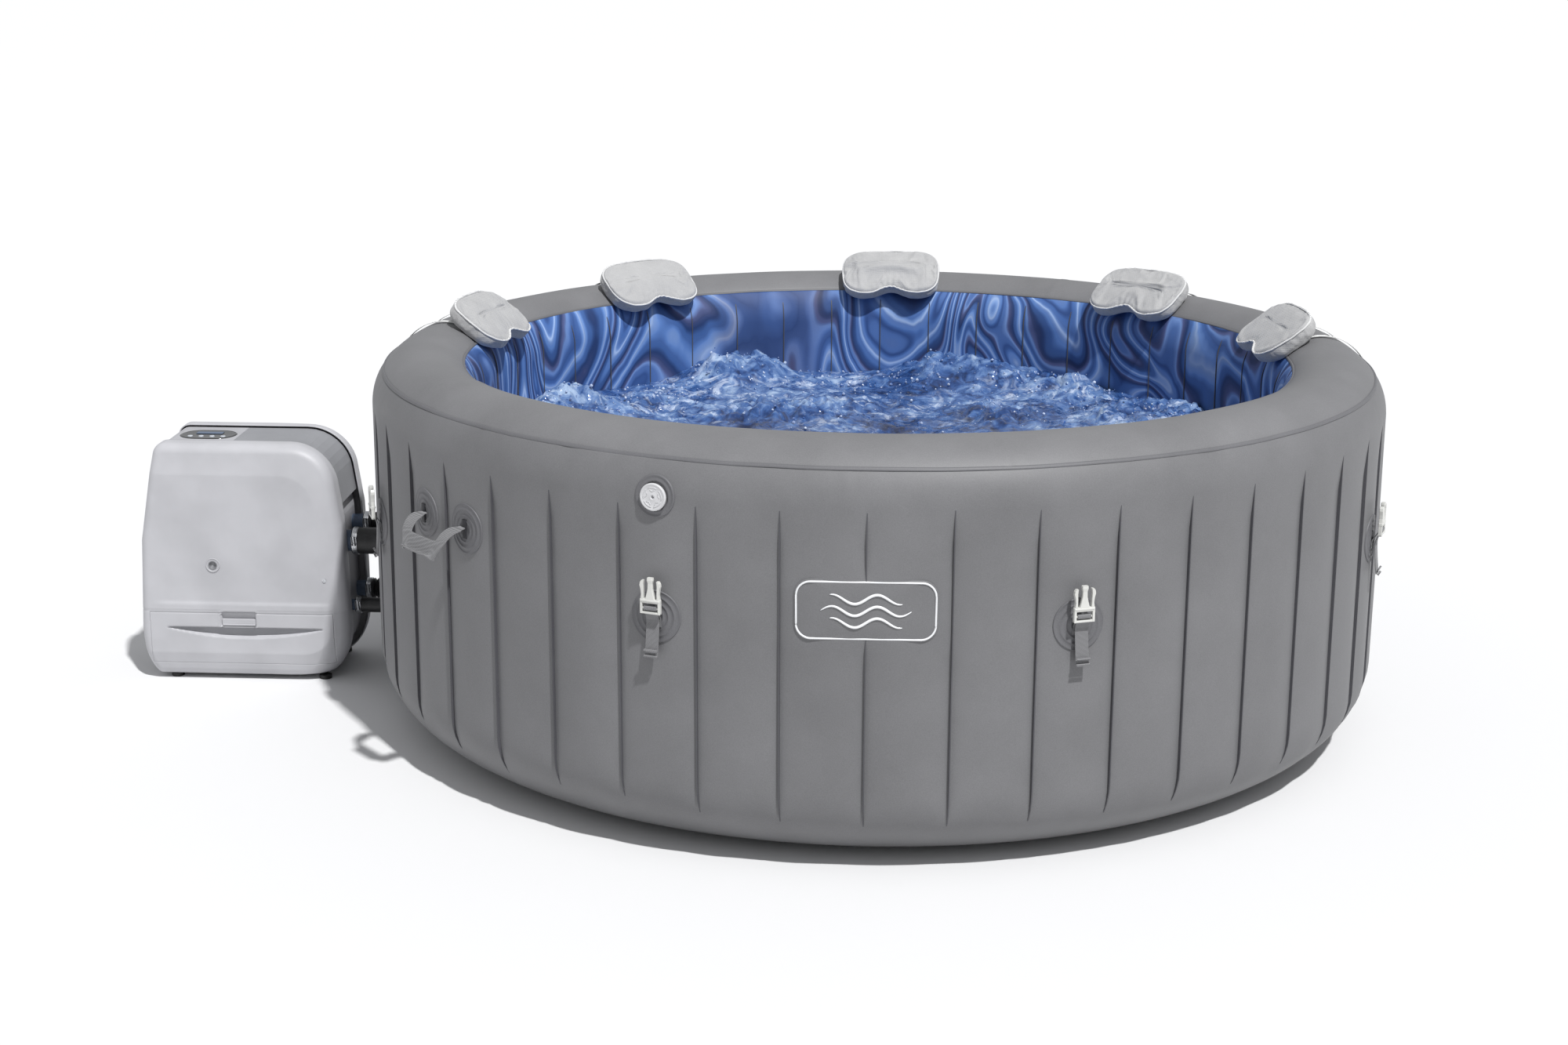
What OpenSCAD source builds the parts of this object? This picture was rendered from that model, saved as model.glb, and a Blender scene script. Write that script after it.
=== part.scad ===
// Round inflatable hot tub with an outboard pump, heater and blower unit.
// Origin: the tub's axis at ground level. +Z is up, -Y is the front, and the pump stands at -X.

/* [Tub] */
// Outer radius of the air ring
tub_r = 1080; // [1040:1:1140]
// Height of the rim above the ground
tub_h = 800; // [760:1:840]
// Radius of the rounded rim, which is half of the wall's thickness
rim_r = 113; // [105:1:120]
// Number of upright air panels round the wall
panel_count = 44; // [44]
// Thickness of the laminate skins
skin_t = 3; // [2:0.5:4]
// Thickness of each internal beam
beam_t = 2; // [1:0.5:3]

/* [Tub fittings] */
// Height of the middle of the badge
badge_z = 507; // [480:1:540]
// Width of the badge
badge_w = 256; // [200:1:300]
// Height of the badge
badge_h = 113; // [90:1:130]
// Height of the air valve's axis
valve_z = 692; // [680:1:700]
// Radius of the valve cap
valve_cap_r = 26; // [24:1:30]
// Height of the buckle hinges
buckle_z = 490; // [470:1:510]
// Width of a buckle
buckle_w = 40; // [36:1:44]
// Height of the carry handles
handle_z = 560; // [540:1:580]
// Radius of a welded reinforcing patch
patch_r = 49; // [45:1:52]

/* [Pillows] */
// Width of a pillow along the rim
pillow_w = 240; // [200:1:260]
// Depth of a pillow across the rim
pillow_d = 150; // [120:1:160]
// Thickness of a pillow
pillow_t = 46; // [36:1:50]
// Tilt of a pillow towards the water
pillow_tilt = 36; // [30:1:40]

/* [Pump unit] */
// Height of the pump unit's middle housing
pump_top = 545; // [540:1:550]
// Thickness of the pump unit's shells
shell_t = 4; // [3:0.5:5]
// How far the middle housing stands back from the side shells
core_inset = 18; // [12:1:19]
// Radius of a control button
button_r = 6; // [5:0.5:7]

/* [Hidden] */
$fn = 96;

// Air ring: centre of the rim's arc, inner wall, and the rounded corners at the ground and at the floor
rim_c = tub_r - rim_r;
rim_z = tub_h - rim_r;
wall_in = tub_r - 2 * rim_r;
corner_rx = 210;
corner_rz = 160;
foot_r = tub_r - corner_rx;
liner_corner = 60;
floor_r = wall_in - liner_corner;
floor_z = 14;
outer_seam_a = 38.8;
inner_seam_a = 136.5;
panel_a = 360 / panel_count;
front_a = -90;

valve_a = front_a - 2.5 * panel_a;
buckle_angles = [-69.5, -110.5, -20.5, -159.5, 20.5, 69.5, 110.5, 159.5];
handle_angles = [-139.1, 40.9];
handle_spread = 4.1;
pillow_angles = [169, 129.7, 88.4, 45.3, 8.6];

// Pump unit
pump_y0 = -40;
pump_y1 = 240;
core_y0 = 20;
core_y1 = 180;
pump_bottom = 8;
hinge_y = pump_y0 + 8;
hinge_z = 48;
hatch_x0 = -1624;
hatch_x1 = -1208;
hatch_top = 162;
hatch_nose_r = 9.15;
latch_x = -1422;
cover_inset = 6;
cover_x0 = -1436;
cover_z0 = 400;

// Pipes between the pump and the tub: [y, z, outer radius of the hose, radius of the pipe inside it]
jet_line = [45, 312, 30, 24];
air_line = [45, 161, 17, 13];
out_line = [160, 326, 23, 18];
in_line = [160, 167, 23.5, 18];
lines = [jet_line, air_line, out_line, in_line];
port_x0 = -1215;
port_x1 = -1150;
hose_x0 = -1174;
hose_x1 = -1092;
fitting_x = -1125;
manifold_r = 905;
manifold_z = 400;
jet_angles = [-45, 45, 135, -135];

function arc(cx, cz, rx, rz, a0, a1, n) =
    [for (i = [0:n]) let (a = a0 + (a1 - a0) * i / n) [cx + rx * cos(a), cz + rz * sin(a)]];

// Stretches of the air ring's section, d inside the outer surface
function outer_path(d, end_a) = concat(
    arc(foot_r, corner_rz, corner_rx - d, corner_rz - d, -90, 0, 12),
    arc(rim_c, rim_z, rim_r - d, rim_r - d, 0, end_a, 6));
function rim_path(d, a0, a1) = arc(rim_c, rim_z, rim_r - d, rim_r - d, a0, a1, 14);
function liner_corner_path(d) =
    arc(wall_in - liner_corner, floor_z + liner_corner, liner_corner + d, liner_corner + d, 0, -90, 6);
function liner_path(d) = concat(rim_path(d, inner_seam_a, 180), liner_corner_path(d));
function reversed(p) = [for (i = [len(p) - 1:-1:0]) p[i]];
function tail(p) = [for (i = [1:len(p) - 1]) p[i]];

// The pump unit's outline in X and Z, d inside its outer surface
function pump_outline(d) = concat(
    arc(-1609, 124, 37 - d, 124 - pump_bottom - d, 180, 270, 6),
    arc(-1250, 122, 74 - d, 122 - pump_bottom - d, 270, 360, 8),
    [[-1183 - d, 363]],
    arc(-1300, pump_top - 105, 105 - d, 105 - d, 5, 90, 8),
    arc(-1575, pump_top - 27, 27 - d, 27 - d, 90, 165, 4),
    [[-1636 + d, 325]]);

module revolve_skin(path_out, path_in) {
    rotate_extrude() polygon(concat(path_out, reversed(path_in)));
}

// Puts children at an angle round the tub: their X points outward and their Y runs along the wall
module round_tub(a) {
    rotate([0, 0, a]) children();
}

module rod_x(x0, x1, y, z, r) {
    translate([x0, y, z]) rotate([0, 90, 0]) cylinder(h = x1 - x0, r = r);
}

module rod_y(x, y0, y1, z, r) {
    translate([x, y0, z]) rotate([-90, 0, 0]) cylinder(h = y1 - y0, r = r);
}

module pump_slab(d, y0, y1) {
    translate([0, y1, 0]) rotate([90, 0, 0]) linear_extrude(y1 - y0) polygon(pump_outline(d));
}

// A box given by its two corners
module span(low, high) {
    translate(low) cube(high - low);
}

module pipe_holes(extra) {
    for (p = lines) rod_x(-1300, -840, p[0], p[1], p[3] + extra);
}

// ---------- Tub skins ----------

module outer_wall() {
    color([0.47, 0.47, 0.49]) difference() {
        revolve_skin(outer_path(0, outer_seam_a), outer_path(skin_t, outer_seam_a));
        for (p = lines) rod_x(-1150, -1000, p[0], p[1], p[3]);
        round_tub(valve_a) rod_x(1000, 1150, 0, valve_z, 18);
    }
}

module rim_band() {
    color([0.53, 0.53, 0.54])
        revolve_skin(rim_path(0, outer_seam_a, inner_seam_a), rim_path(skin_t, outer_seam_a, inner_seam_a));
}

module inner_liner() {
    color([0.16, 0.38, 0.66]) difference() {
        revolve_skin(liner_path(0), liner_path(skin_t));
        for (p = [out_line, in_line]) rod_x(-900, -800, p[0], p[1], p[3]);
        rod_x(-900, -800, air_line[0], 42, 8);
        for (a = jet_angles) round_tub(a) rod_x(800, 900, 0, manifold_z, 20);
    }
}

module base_sheet() {
    color([0.3, 0.31, 0.33]) cylinder(h = skin_t, r = foot_r);
}

// The padded floor, welded to the liner's lower edge
module floor_pad() {
    color([0.16, 0.38, 0.66]) translate([0, 0, skin_t]) cylinder(h = floor_z - skin_t, r = floor_r);
}

module beam() {
    section = concat(
        outer_path(skin_t, outer_seam_a), tail(rim_path(skin_t, outer_seam_a, inner_seam_a)),
        tail(liner_path(skin_t)), [[floor_r, skin_t]]);
    translate([0, beam_t / 2, 0]) rotate([90, 0, 0]) linear_extrude(beam_t) difference() {
        polygon(section);
        translate([manifold_r, manifold_z]) circle(21);
        translate([rim_c, 620]) circle(30);
        translate([rim_c, 90]) circle(30);
    }
}

module wall_beams() {
    color([0.6, 0.61, 0.63]) difference() {
        for (i = [0:panel_count - 1]) round_tub(front_a + i * panel_a) beam();
        pipe_holes(1);
    }
}

// Two welded tapes: under the rim band's outer edge and under its inner edge
module weld_seams() {
    tape_a = 3;
    color([0.44, 0.44, 0.46]) for (a = [outer_seam_a, inner_seam_a])
        revolve_skin(rim_path(-1.2, a - tape_a, a + tape_a), rim_path(0, a - tape_a, a + tape_a));
}

// ---------- Fittings on the tub ----------

module wall_band(r0, r1, z0, z1) {
    rotate_extrude() translate([r0, z0]) square([r1 - r0, z1 - z0]);
}

module badge() {
    corner = 30;
    color([0.93, 0.94, 0.95]) intersection() {
        wall_band(tub_r, tub_r + 3, badge_z - badge_h, badge_z + badge_h);
        translate([0, -tub_r + 60, badge_z]) rotate([90, 0, 0]) linear_extrude(120) {
            square([badge_w - 2 * corner, badge_h], center = true);
            square([badge_w, badge_h - 2 * corner], center = true);
            for (x = [-1, 1]) for (z = [-1, 1])
                translate([x * (badge_w / 2 - corner), z * (badge_h / 2 - corner)]) circle(corner);
        }
    }
}

module valve_body() {
    color([0.75, 0.75, 0.77]) round_tub(valve_a) difference() {
        union() {
            rod_x(tub_r, tub_r + 4, 0, valve_z, 36.5);
            rod_x(tub_r - 45, tub_r + 1, 0, valve_z, 18);
        }
        rod_x(tub_r - 50, tub_r + 10, 0, valve_z, 14);
    }
}

module valve_seal() {
    color([0.12, 0.12, 0.13]) round_tub(valve_a) rod_x(tub_r - 40, tub_r - 36, 0, valve_z, 14);
}

module valve_cap() {
    color([0.75, 0.75, 0.77]) round_tub(valve_a) union() {
        rod_x(tub_r + 4.3, tub_r + 14, 0, valve_z, valve_cap_r);
        rod_x(tub_r - 25, tub_r + 5, 0, valve_z, 13.93);
        span([tub_r + 13, -20, valve_z - 2.5], [tub_r + 17, 20, valve_z + 2.5]);
    }
}

module weld_patches() {
    color([0.45, 0.45, 0.47]) intersection() {
        wall_band(tub_r, tub_r + 2, 400, 700);
        union() {
            for (a = buckle_angles) round_tub(a) rod_x(tub_r - 50, tub_r + 50, 0, buckle_z - 20, patch_r);
            for (a = handle_angles) for (side = [-1, 1])
                round_tub(a + side * handle_spread) rod_x(tub_r - 50, tub_r + 50, 0, handle_z, patch_r);
        }
    }
}

buckle_x = tub_r + 18.5;
bar_r = 2;
loop_r = 4.6;

module buckle_strap() {
    strap_w = 24;
    difference() {
        union() {
            span([tub_r + 2, -strap_w / 2, buckle_z - 90], [tub_r + 5, strap_w / 2, buckle_z + 12]);
            span([tub_r + 5, -strap_w / 2, buckle_z - loop_r], [buckle_x, strap_w / 2, buckle_z - 2]);
            rod_y(buckle_x, -strap_w / 2, strap_w / 2, buckle_z, loop_r);
        }
        rod_y(buckle_x, -strap_w, strap_w, buckle_z, bar_r + 0.08);
    }
}

module buckle_straps() {
    color([0.42, 0.42, 0.43]) for (a = buckle_angles) round_tub(a) buckle_strap();
}

// The prong half of a side-release buckle, upright on its bar
module buckle(a) {
    lug_w = 6;
    half = buckle_w / 2;
    body_t = 6;
    color([0.86, 0.86, 0.83]) round_tub(a) translate([buckle_x, 0, buckle_z]) {
        rod_y(0, -half, half, 0, bar_r);
        for (y = [-half, half - lug_w]) {
            rod_y(0, y, y + lug_w, 0, body_t);
            span([-body_t, y, 0], [body_t, y + lug_w, 10]);
            span([-4, y, 22], [4, y + lug_w, 58]);
        }
        span([-body_t, -half, 7], [body_t, half, 26]);
        span([-2.5, -4, 25], [2.5, 4, 54]);
    }
}

// ---------- Carry handles ----------

handle_x = tub_r + 8;
handle_half = 76;

module handle(a) {
    reach = 62;
    color([0.4, 0.4, 0.42]) round_tub(a) translate([handle_x, 0, handle_z]) rotate([0, 35, 0]) {
        for (side = [-1, 1]) {
            rod_y(0, side * handle_half - 18, side * handle_half + 18, 0, 4);
            translate([0, side * handle_half, 0]) rotate([0, 0, -side * 25])
                span([0, -17, -1.5], [reach, 17, 1.5]);
        }
        span([reach - 22, -56, -2.5], [reach + 14, 56, 2.5]);
    }
}

// ---------- Pillows ----------

pillow_gap = 6;

module pillow_outline() {
    corner = 44;
    difference() {
        union() {
            square([pillow_d - 2 * corner, pillow_w], center = true);
            square([pillow_d, pillow_w - 2 * corner], center = true);
            for (x = [-1, 1]) for (y = [-1, 1])
                translate([x * (pillow_d / 2 - corner), y * (pillow_w / 2 - corner)]) circle(corner);
        }
        translate([-pillow_d / 2 - 40, 0]) circle(62);
    }
}

// A strap that leaves the pillow, follows the rim outward and runs down the outer wall
module pillow_strap() {
    strap_w = 20;
    lift = 1;
    strap_t = 2;
    translate([0, strap_w / 2, 0]) rotate([90, 0, 0]) linear_extrude(strap_w) {
        intersection() {
            translate([rim_c, rim_z]) difference() {
                circle(rim_r + lift + strap_t);
                circle(rim_r + lift);
            }
            polygon([[rim_c, rim_z], [rim_c + 300, rim_z], [rim_c + 300, rim_z + 300],
                [rim_c - 105, rim_z + 300]]);
        }
        translate([tub_r + lift, rim_z - 60]) square([strap_t, 60]);
        translate([rim_c, rim_z]) rotate(109)
            translate([rim_r + lift, -8]) square([pillow_gap + 10, 8]);
    }
}

module pillow(a) {
    up = 90 + pillow_tilt;
    mid = rim_r + pillow_gap + pillow_t / 2;
    color([0.78, 0.78, 0.79]) round_tub(a) {
        translate([rim_c + mid * cos(up), 0, rim_z + mid * sin(up)]) rotate([0, -pillow_tilt, 0])
            linear_extrude(pillow_t, center = true) pillow_outline();
        for (side = [-1, 1]) translate([0, side * 60, 0]) pillow_strap();
    }
}

// ---------- Air and water inside the tub ----------

module air_ring() {
    corner = liner_corner_path(0);
    color([0.35, 0.45, 0.6]) difference() {
        rotate_extrude() difference() {
            polygon(concat([for (i = [5:-1:1]) corner[i]], arc(831, 37, 43, 43, 62, 208, 10)));
            translate([824, 44]) circle(20);
        }
        rod_x(-860, -824, air_line[0], 42, 8);
        for (i = [0:panel_count - 1]) round_tub(front_a + (i + 0.5) * panel_a)
            translate([824, 0, 44]) rotate([0, -45, 0]) cylinder(h = 60, r = 2.5, $fn = 24);
    }
}

// A square-cornered duct: outward leg, upright leg, inward leg
module duct(y, z_out, z_in, x_out, x_mid, x_in, r_out, r_bore) {
    z_low = min(z_out, z_in);
    z_high = max(z_out, z_in);
    difference() {
        union() {
            rod_x(x_out, x_mid, y, z_out, r_out);
            rod_x(x_mid, x_in, y, z_in, r_out);
            translate([x_mid, y, z_low]) cylinder(h = z_high - z_low, r = r_out);
            for (z = [z_low, z_high]) translate([x_mid, y, z]) sphere(r = r_out);
        }
        rod_x(x_out - 1, x_mid, y, z_out, r_bore);
        rod_x(x_mid, x_in + 1, y, z_in, r_bore);
        translate([x_mid, y, z_low]) cylinder(h = z_high - z_low, r = r_bore);
    }
}

module air_duct() {
    color([0.3, 0.35, 0.42]) difference() {
        duct(air_line[0], air_line[1], 42, -1070, -930, -842, 8, 6);
        air_ring_contact();
    }
}

// The body of the air ring, used to trim the duct that meets it
module air_ring_contact() {
    rotate_extrude() translate([wall_in - liner_corner, floor_z + liner_corner]) circle(liner_corner);
}

module jet_manifold() {
    color([0.3, 0.35, 0.42]) difference() {
        union() {
            duct(jet_line[0], jet_line[1], manifold_z, -1070, -1000, -manifold_r, 12, 9);
            rotate_extrude() translate([manifold_r, manifold_z]) circle(20);
        }
        rotate_extrude() translate([manifold_r, manifold_z]) circle(17);
        rod_x(-1000, -manifold_r, jet_line[0], manifold_z, 9);
        for (a = jet_angles) round_tub(a) rod_x(manifold_r - 40, manifold_r, 0, manifold_z, 12);
    }
}

module jet_nozzles() {
    color([0.55, 0.6, 0.68]) for (a = jet_angles) round_tub(a) difference() {
        union() {
            rod_x(wall_in - 12, wall_in - 1, 0, manifold_z, 32);
            rod_x(wall_in - 2, manifold_r - 20, 0, manifold_z, 12);
        }
        rod_x(wall_in - 20, manifold_r, 0, manifold_z, 8);
        rotate_extrude() translate([manifold_r, manifold_z]) circle(20);
    }
}

// Flanges on the outer wall with their pipes; the water lines run through to strainers inside the tub
module wall_fittings() {
    flange_x = -1086;
    strainer_x = -829;
    color([0.36, 0.43, 0.53]) {
        for (p = [jet_line, air_line]) difference() {
            union() {
                rod_x(flange_x, -1081.5, p[0], p[1], p[2] + 14);
                rod_x(fitting_x, -1070, p[0], p[1], p[3]);
            }
            rod_x(-1140, -1060, p[0], p[1], p[3] - 5);
        }
        for (p = [out_line, in_line]) difference() {
            union() {
                rod_x(flange_x, -1081.5, p[0], p[1], p[2] + 10);
                rod_x(fitting_x, strainer_x + 4, p[0], p[1], p[3]);
                rod_x(strainer_x, strainer_x + 12, p[0], p[1], p[3] + 22);
            }
            rod_x(-1140, strainer_x + 6, p[0], p[1], p[3] - 4);
            for (dy = [-24:8:24])
                span([strainer_x + 2, p[0] + dy - 1.5, p[1] - 14], [strainer_x + 20, p[0] + dy + 1.5, p[1] + 14]);
        }
    }
}

// ---------- Pump unit ----------

module cheek(y0, y1, closed_y) {
    difference() {
        pump_slab(0, y0, y1);
        pump_slab(shell_t, closed_y > y0 ? y0 - 1 : y0 + shell_t, closed_y > y0 ? y1 - shell_t : y1 + 1);
    }
}

module hatch_hole(gap) {
    span([hatch_x0 - gap, pump_y0 - 10, hinge_z - 8 - gap], [hatch_x1 + gap, pump_y0 + shell_t + 1, hatch_top + gap]);
}

module pump_front_shell() {
    pin_lug = 6;
    color([0.79, 0.79, 0.8]) difference() {
        union() {
            difference() {
                cheek(pump_y0, core_y0, pump_y0);
                hatch_hole(0.6);
            }
            for (x = [hatch_x0 - 1 - pin_lug, hatch_x1 + 1]) {
                rod_x(x, x + pin_lug, hinge_y, hinge_z, 6);
                span([x, pump_y0 + shell_t - 1, hinge_z - 4], [x + pin_lug, hinge_y, hinge_z + 4]);
            }
        }
        rod_x(hatch_x0 - 10, hatch_x1 + 10, hinge_y, hinge_z, 2.58);
        for (p = screw_places) rod_y(p[0], pump_y0 - 1, pump_y0 + 3, p[1], 15);
        for (p = screw_places) rod_y(p[0], pump_y0, pump_y0 + 10, p[1], 2.5);
    }
}

screw_places = [[-1474, 272], [-1560, 470], [-1290, 470], [-1224, 240]];

module pump_rear_shell() {
    color([0.79, 0.79, 0.8]) difference() {
        cheek(core_y1, pump_y1, pump_y1);
        rod_y(-1500, pump_y1 - 10, pump_y1 + 10, 80, 9);
        for (x = [-1560:20:-1360]) span([x, pump_y1 - 10, 180], [x + 8, pump_y1 + 1, 300]);
    }
}

// The middle housing, with a raised fascia round the control panel at its top left
module pump_core() {
    color([0.74, 0.74, 0.75]) difference() {
        union() {
            pump_slab(core_inset, core_y0, core_y1);
            difference() {
                pump_slab(cover_inset, core_y0 + 1, core_y1 - 1);
                span([cover_x0 - 0.3, -100, 0], [-1100, 300, 600]);
                span([-1700, -100, 0], [-1100, 300, cover_z0]);
            }
        }
        pump_slab(core_inset + shell_t, core_y0 - 1, core_y1 + 1);
        translate([0, 0, panel_base]) linear_extrude(30) offset_panel(0.3);
        for (p = lines) rod_x(-1230, -1150, p[0], p[1], p[3]);
    }
}

// A curved plate over the top right of the middle housing; its lower end stands proud as a grip
module pump_top_cover() {
    color([0.55, 0.55, 0.56]) difference() {
        pump_slab(cover_inset, core_y0 + 1, core_y1 - 1);
        pump_slab(core_inset, core_y0 - 1, core_y1 + 1);
        span([-1700, -100, 0], [cover_x0, 300, 600]);
        span([-1700, -100, 0], [-1100, 300, cover_z0]);
    }
}

module pump_feet() {
    color([0.08, 0.08, 0.08]) for (x = [-1580, -1240]) for (y = [0, 200])
        translate([x, y, 0]) cylinder(h = pump_bottom, r = 14);
}

module shell_screws() {
    color([0.6, 0.6, 0.62]) for (p = screw_places) {
        difference() {
            rod_y(p[0], pump_y0 + 0.8, pump_y0 + 3, p[1], 4);
            rod_y(p[0], pump_y0, pump_y0 + 2, p[1], 2);
        }
        rod_y(p[0], pump_y0 + 2.5, pump_y0 + 12, p[1], 2.5);
    }
}

panel_x0 = -1572;
panel_x1 = -1444;
panel_top = pump_top - 5;
panel_base = pump_top - core_inset;
button_x = [-1545, -1520, -1495, -1470];
button_y = 82;

// The panel's outline, grown by a gap
module offset_panel(gap) {
    half = 44 + gap;
    mid_y = (core_y0 + core_y1) / 2;
    x0 = panel_x0 - gap;
    x1 = panel_x1 + gap;
    translate([x0 + half, mid_y]) circle(half);
    translate([x1 - half, mid_y]) circle(half);
    translate([x0 + half, mid_y - half]) square([x1 - x0 - 2 * half, 2 * half]);
}

module control_panel() {
    color([0.03, 0.03, 0.035]) difference() {
        translate([0, 0, panel_base]) linear_extrude(panel_top - panel_base) offset_panel(0);
        for (x = button_x) translate([x, button_y, panel_base + 2]) cylinder(h = 20, r = button_r + 0.1);
    }
}

module button(i) {
    color([0.85, 0.86, 0.88]) translate([button_x[i], button_y, panel_base + 3.5])
        cylinder(h = panel_top - panel_base - 2.5, r = button_r);
}

module control_board() {
    board_z = panel_base - shell_t - 14;
    color([0.1, 0.35, 0.2]) {
        span([-1570, 40, board_z], [-1440, 160, board_z + 2]);
        for (x = [-1560, -1450]) for (y = [50, 150])
            translate([x, y, board_z + 2]) cylinder(h = 12, r = 4);
        span([-1540, 70, board_z - 8], [-1510, 100, board_z]);
        span([-1490, 90, board_z - 14], [-1470, 130, board_z]);
    }
}

// The flap under the front shell; its lower edge is rounded about the hinge so that it clears the shell
module service_hatch() {
    color([0.79, 0.79, 0.8]) difference() {
        union() {
            span([hatch_x0, pump_y0, hinge_z - 8], [hatch_x1, pump_y0 + shell_t, hatch_top]);
            rod_x(hatch_x0 - 6, hatch_x1 + 6, hinge_y, hinge_z, 2.5);
            for (x = [hatch_x0 + 2, hatch_x1 - 32]) {
                rod_x(x, x + 30, hinge_y, hinge_z, 5);
                span([x, pump_y0 + shell_t - 1, hinge_z - 4], [x + 30, hinge_y, hinge_z + 4]);
            }
        }
        difference() {
            span([hatch_x0 - 1, pump_y0 - 1, hinge_z - 9], [hatch_x1 + 1, hinge_y - 1, hinge_z]);
            rod_x(hatch_x0 - 2, hatch_x1 + 2, hinge_y, hinge_z, hatch_nose_r);
        }
        span([latch_x - 46, pump_y0 - 1, 126], [latch_x + 46, pump_y0 + 2, hatch_top + 1]);
        span([latch_x - 20, pump_y0 - 1, 130], [latch_x + 20, pump_y0 + 10, 156]);
    }
}

// A sliding latch in the hatch: it moves down 5 mm to free its tongue
module hatch_latch() {
    color([0.74, 0.74, 0.76]) {
        span([latch_x - 40, pump_y0 - 0.5, 133], [latch_x + 40, pump_y0 + 1.7, 158]);
        span([latch_x - 18, pump_y0 + 1.5, 137], [latch_x + 18, pump_y0 + 6, 154]);
        span([latch_x - 24, pump_y0 + 4.3, 137], [latch_x + 24, pump_y0 + 6.5, 167]);
    }
}

module filter_cartridge() {
    color([0.9, 0.9, 0.92]) difference() {
        union() {
            rod_x(-1560, -1300, 100, 90, 50);
            rod_x(-1566, -1556, 100, 90, 54);
            rod_x(-1304, -1294, 100, 90, 54);
        }
        rod_x(-1570, -1290, 100, 90, 20);
    }
}

// A round housing with an open middle that holds a rotor, and a motor behind it
module rotor_housing(x, z, r, y0, y1, motor_r, motor_y) {
    difference() {
        union() {
            rod_y(x, y0, y1, z, r);
            rod_y(x, y1 - 1, motor_y, z, motor_r);
        }
        rod_y(x, y0 + 3, y1 - 3, z, r - 4);
        rod_y(x, y0 - 1, y0 + 4, z, r / 3);
        rod_y(x, y1 - 4, motor_y - 10, z, 4.05);
    }
}

module rotor(x, z, r, y0, y1, motor_y, blades) {
    rod_y(x, y0, motor_y - 12, z, 4);
    rod_y(x, y1 - 2, y1, z, r);
    rod_y(x, y0 + 0.5, y1 - 0.5, z, r / 3.5);
    for (i = [0:blades - 1]) translate([x, y0 + 1, z]) rotate([0, (i + 0.3) * 360 / blades, 0])
        translate([r / 5, 0, -1]) cube([r * 0.75, y1 - y0 - 2, 2]);
}

module flow_pump_housing() {
    color([0.2, 0.2, 0.22]) rotor_housing(-1530, 330, 46, 30, 66, 34, 165);
}

module flow_impeller() {
    color([0.75, 0.6, 0.3]) rotor(-1530, 330, 38, 36, 60, 165, 6);
}

module blower_housing() {
    color([0.2, 0.2, 0.22]) rotor_housing(-1330, 380, 66, 30, 84, 40, 165);
}

module blower_fan() {
    color([0.6, 0.6, 0.62]) rotor(-1330, 380, 58, 36, 78, 165, 10);
}

module heater_tube() {
    color([0.7, 0.7, 0.72]) {
        difference() {
            rod_x(-1580, -1260, 110, 225, 26);
            rod_x(-1570, -1270, 110, 225, 23);
            rod_x(-1600, -1240, 110, 225, 12);
        }
    }
}

// ---------- Hoses and ports ----------

module pump_ports() {
    color([0.36, 0.43, 0.53]) for (p = lines) difference() {
        rod_x(port_x0, port_x1, p[0], p[1], p[3]);
        rod_x(port_x0 - 1, port_x1 + 1, p[0], p[1], p[3] - 5);
    }
}

module hose(p) {
    difference() {
        rod_x(hose_x0, hose_x1, p[0], p[1], p[2]);
        rod_x(hose_x0 - 10, hose_x1 + 10, p[0], p[1], p[3]);
    }
}

module jet_hose() {
    color([0.07, 0.07, 0.075]) hose(jet_line);
}

module air_hose() {
    color([0.07, 0.07, 0.075]) hose(air_line);
}

module inlet_hose() {
    color([0.07, 0.07, 0.075]) hose(in_line);
}

module outlet_hose() {
    color([0.07, 0.07, 0.075]) hose(out_line);
}

module hose_clamps() {
    color([0.75, 0.75, 0.77]) for (p = lines) for (x = [-1172, -1110]) {
        difference() {
            rod_x(x, x + 12, p[0], p[1], p[2] + 1.5);
            rod_x(x - 1, x + 13, p[0], p[1], p[2]);
        }
        span([x + 1, p[0] - 6, p[1] + p[2] + 1], [x + 11, p[0] + 6, p[1] + p[2] + 7]);
    }
}

module cable_gland() {
    color([0.1, 0.1, 0.1]) difference() {
        union() {
            rod_y(-1500, pump_y1 - 12, pump_y1 + 18, 80, 9);
            translate([-1500, pump_y1, 80]) rotate([-90, 0, 0]) cylinder(h = 8, r = 13, $fn = 6);
        }
        rod_y(-1500, pump_y1 - 13, pump_y1 + 19, 80, 4.5);
    }
}

outer_wall();
rim_band();
inner_liner();
base_sheet();
floor_pad();
wall_beams();
weld_seams();
badge();
valve_body();
valve_seal();
valve_cap();
weld_patches();
buckle_straps();
for (i = [0:7]) buckle(buckle_angles[i]);
handle(handle_angles[0]);  // handle_left
handle(handle_angles[1]);  // handle_right
for (i = [0:4]) pillow(pillow_angles[i]);
air_ring();
air_duct();
jet_manifold();
jet_nozzles();
wall_fittings();
pump_front_shell();
pump_rear_shell();
pump_core();
pump_top_cover();
pump_feet();
shell_screws();
control_panel();
for (i = [0:3]) button(i);
control_board();
service_hatch();
hatch_latch();
filter_cartridge();
flow_pump_housing();
flow_impeller();
blower_housing();
blower_fan();
heater_tube();
pump_ports();
jet_hose();
air_hose();
inlet_hose();
outlet_hose();
hose_clamps();
cable_gland();
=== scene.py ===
"""Looks of a round inflatable hot tub with an outboard pump unit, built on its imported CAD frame."""

import math
import random

import bmesh
import bpy
import numpy as np
from mathutils import Matrix, Vector, noise


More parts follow.
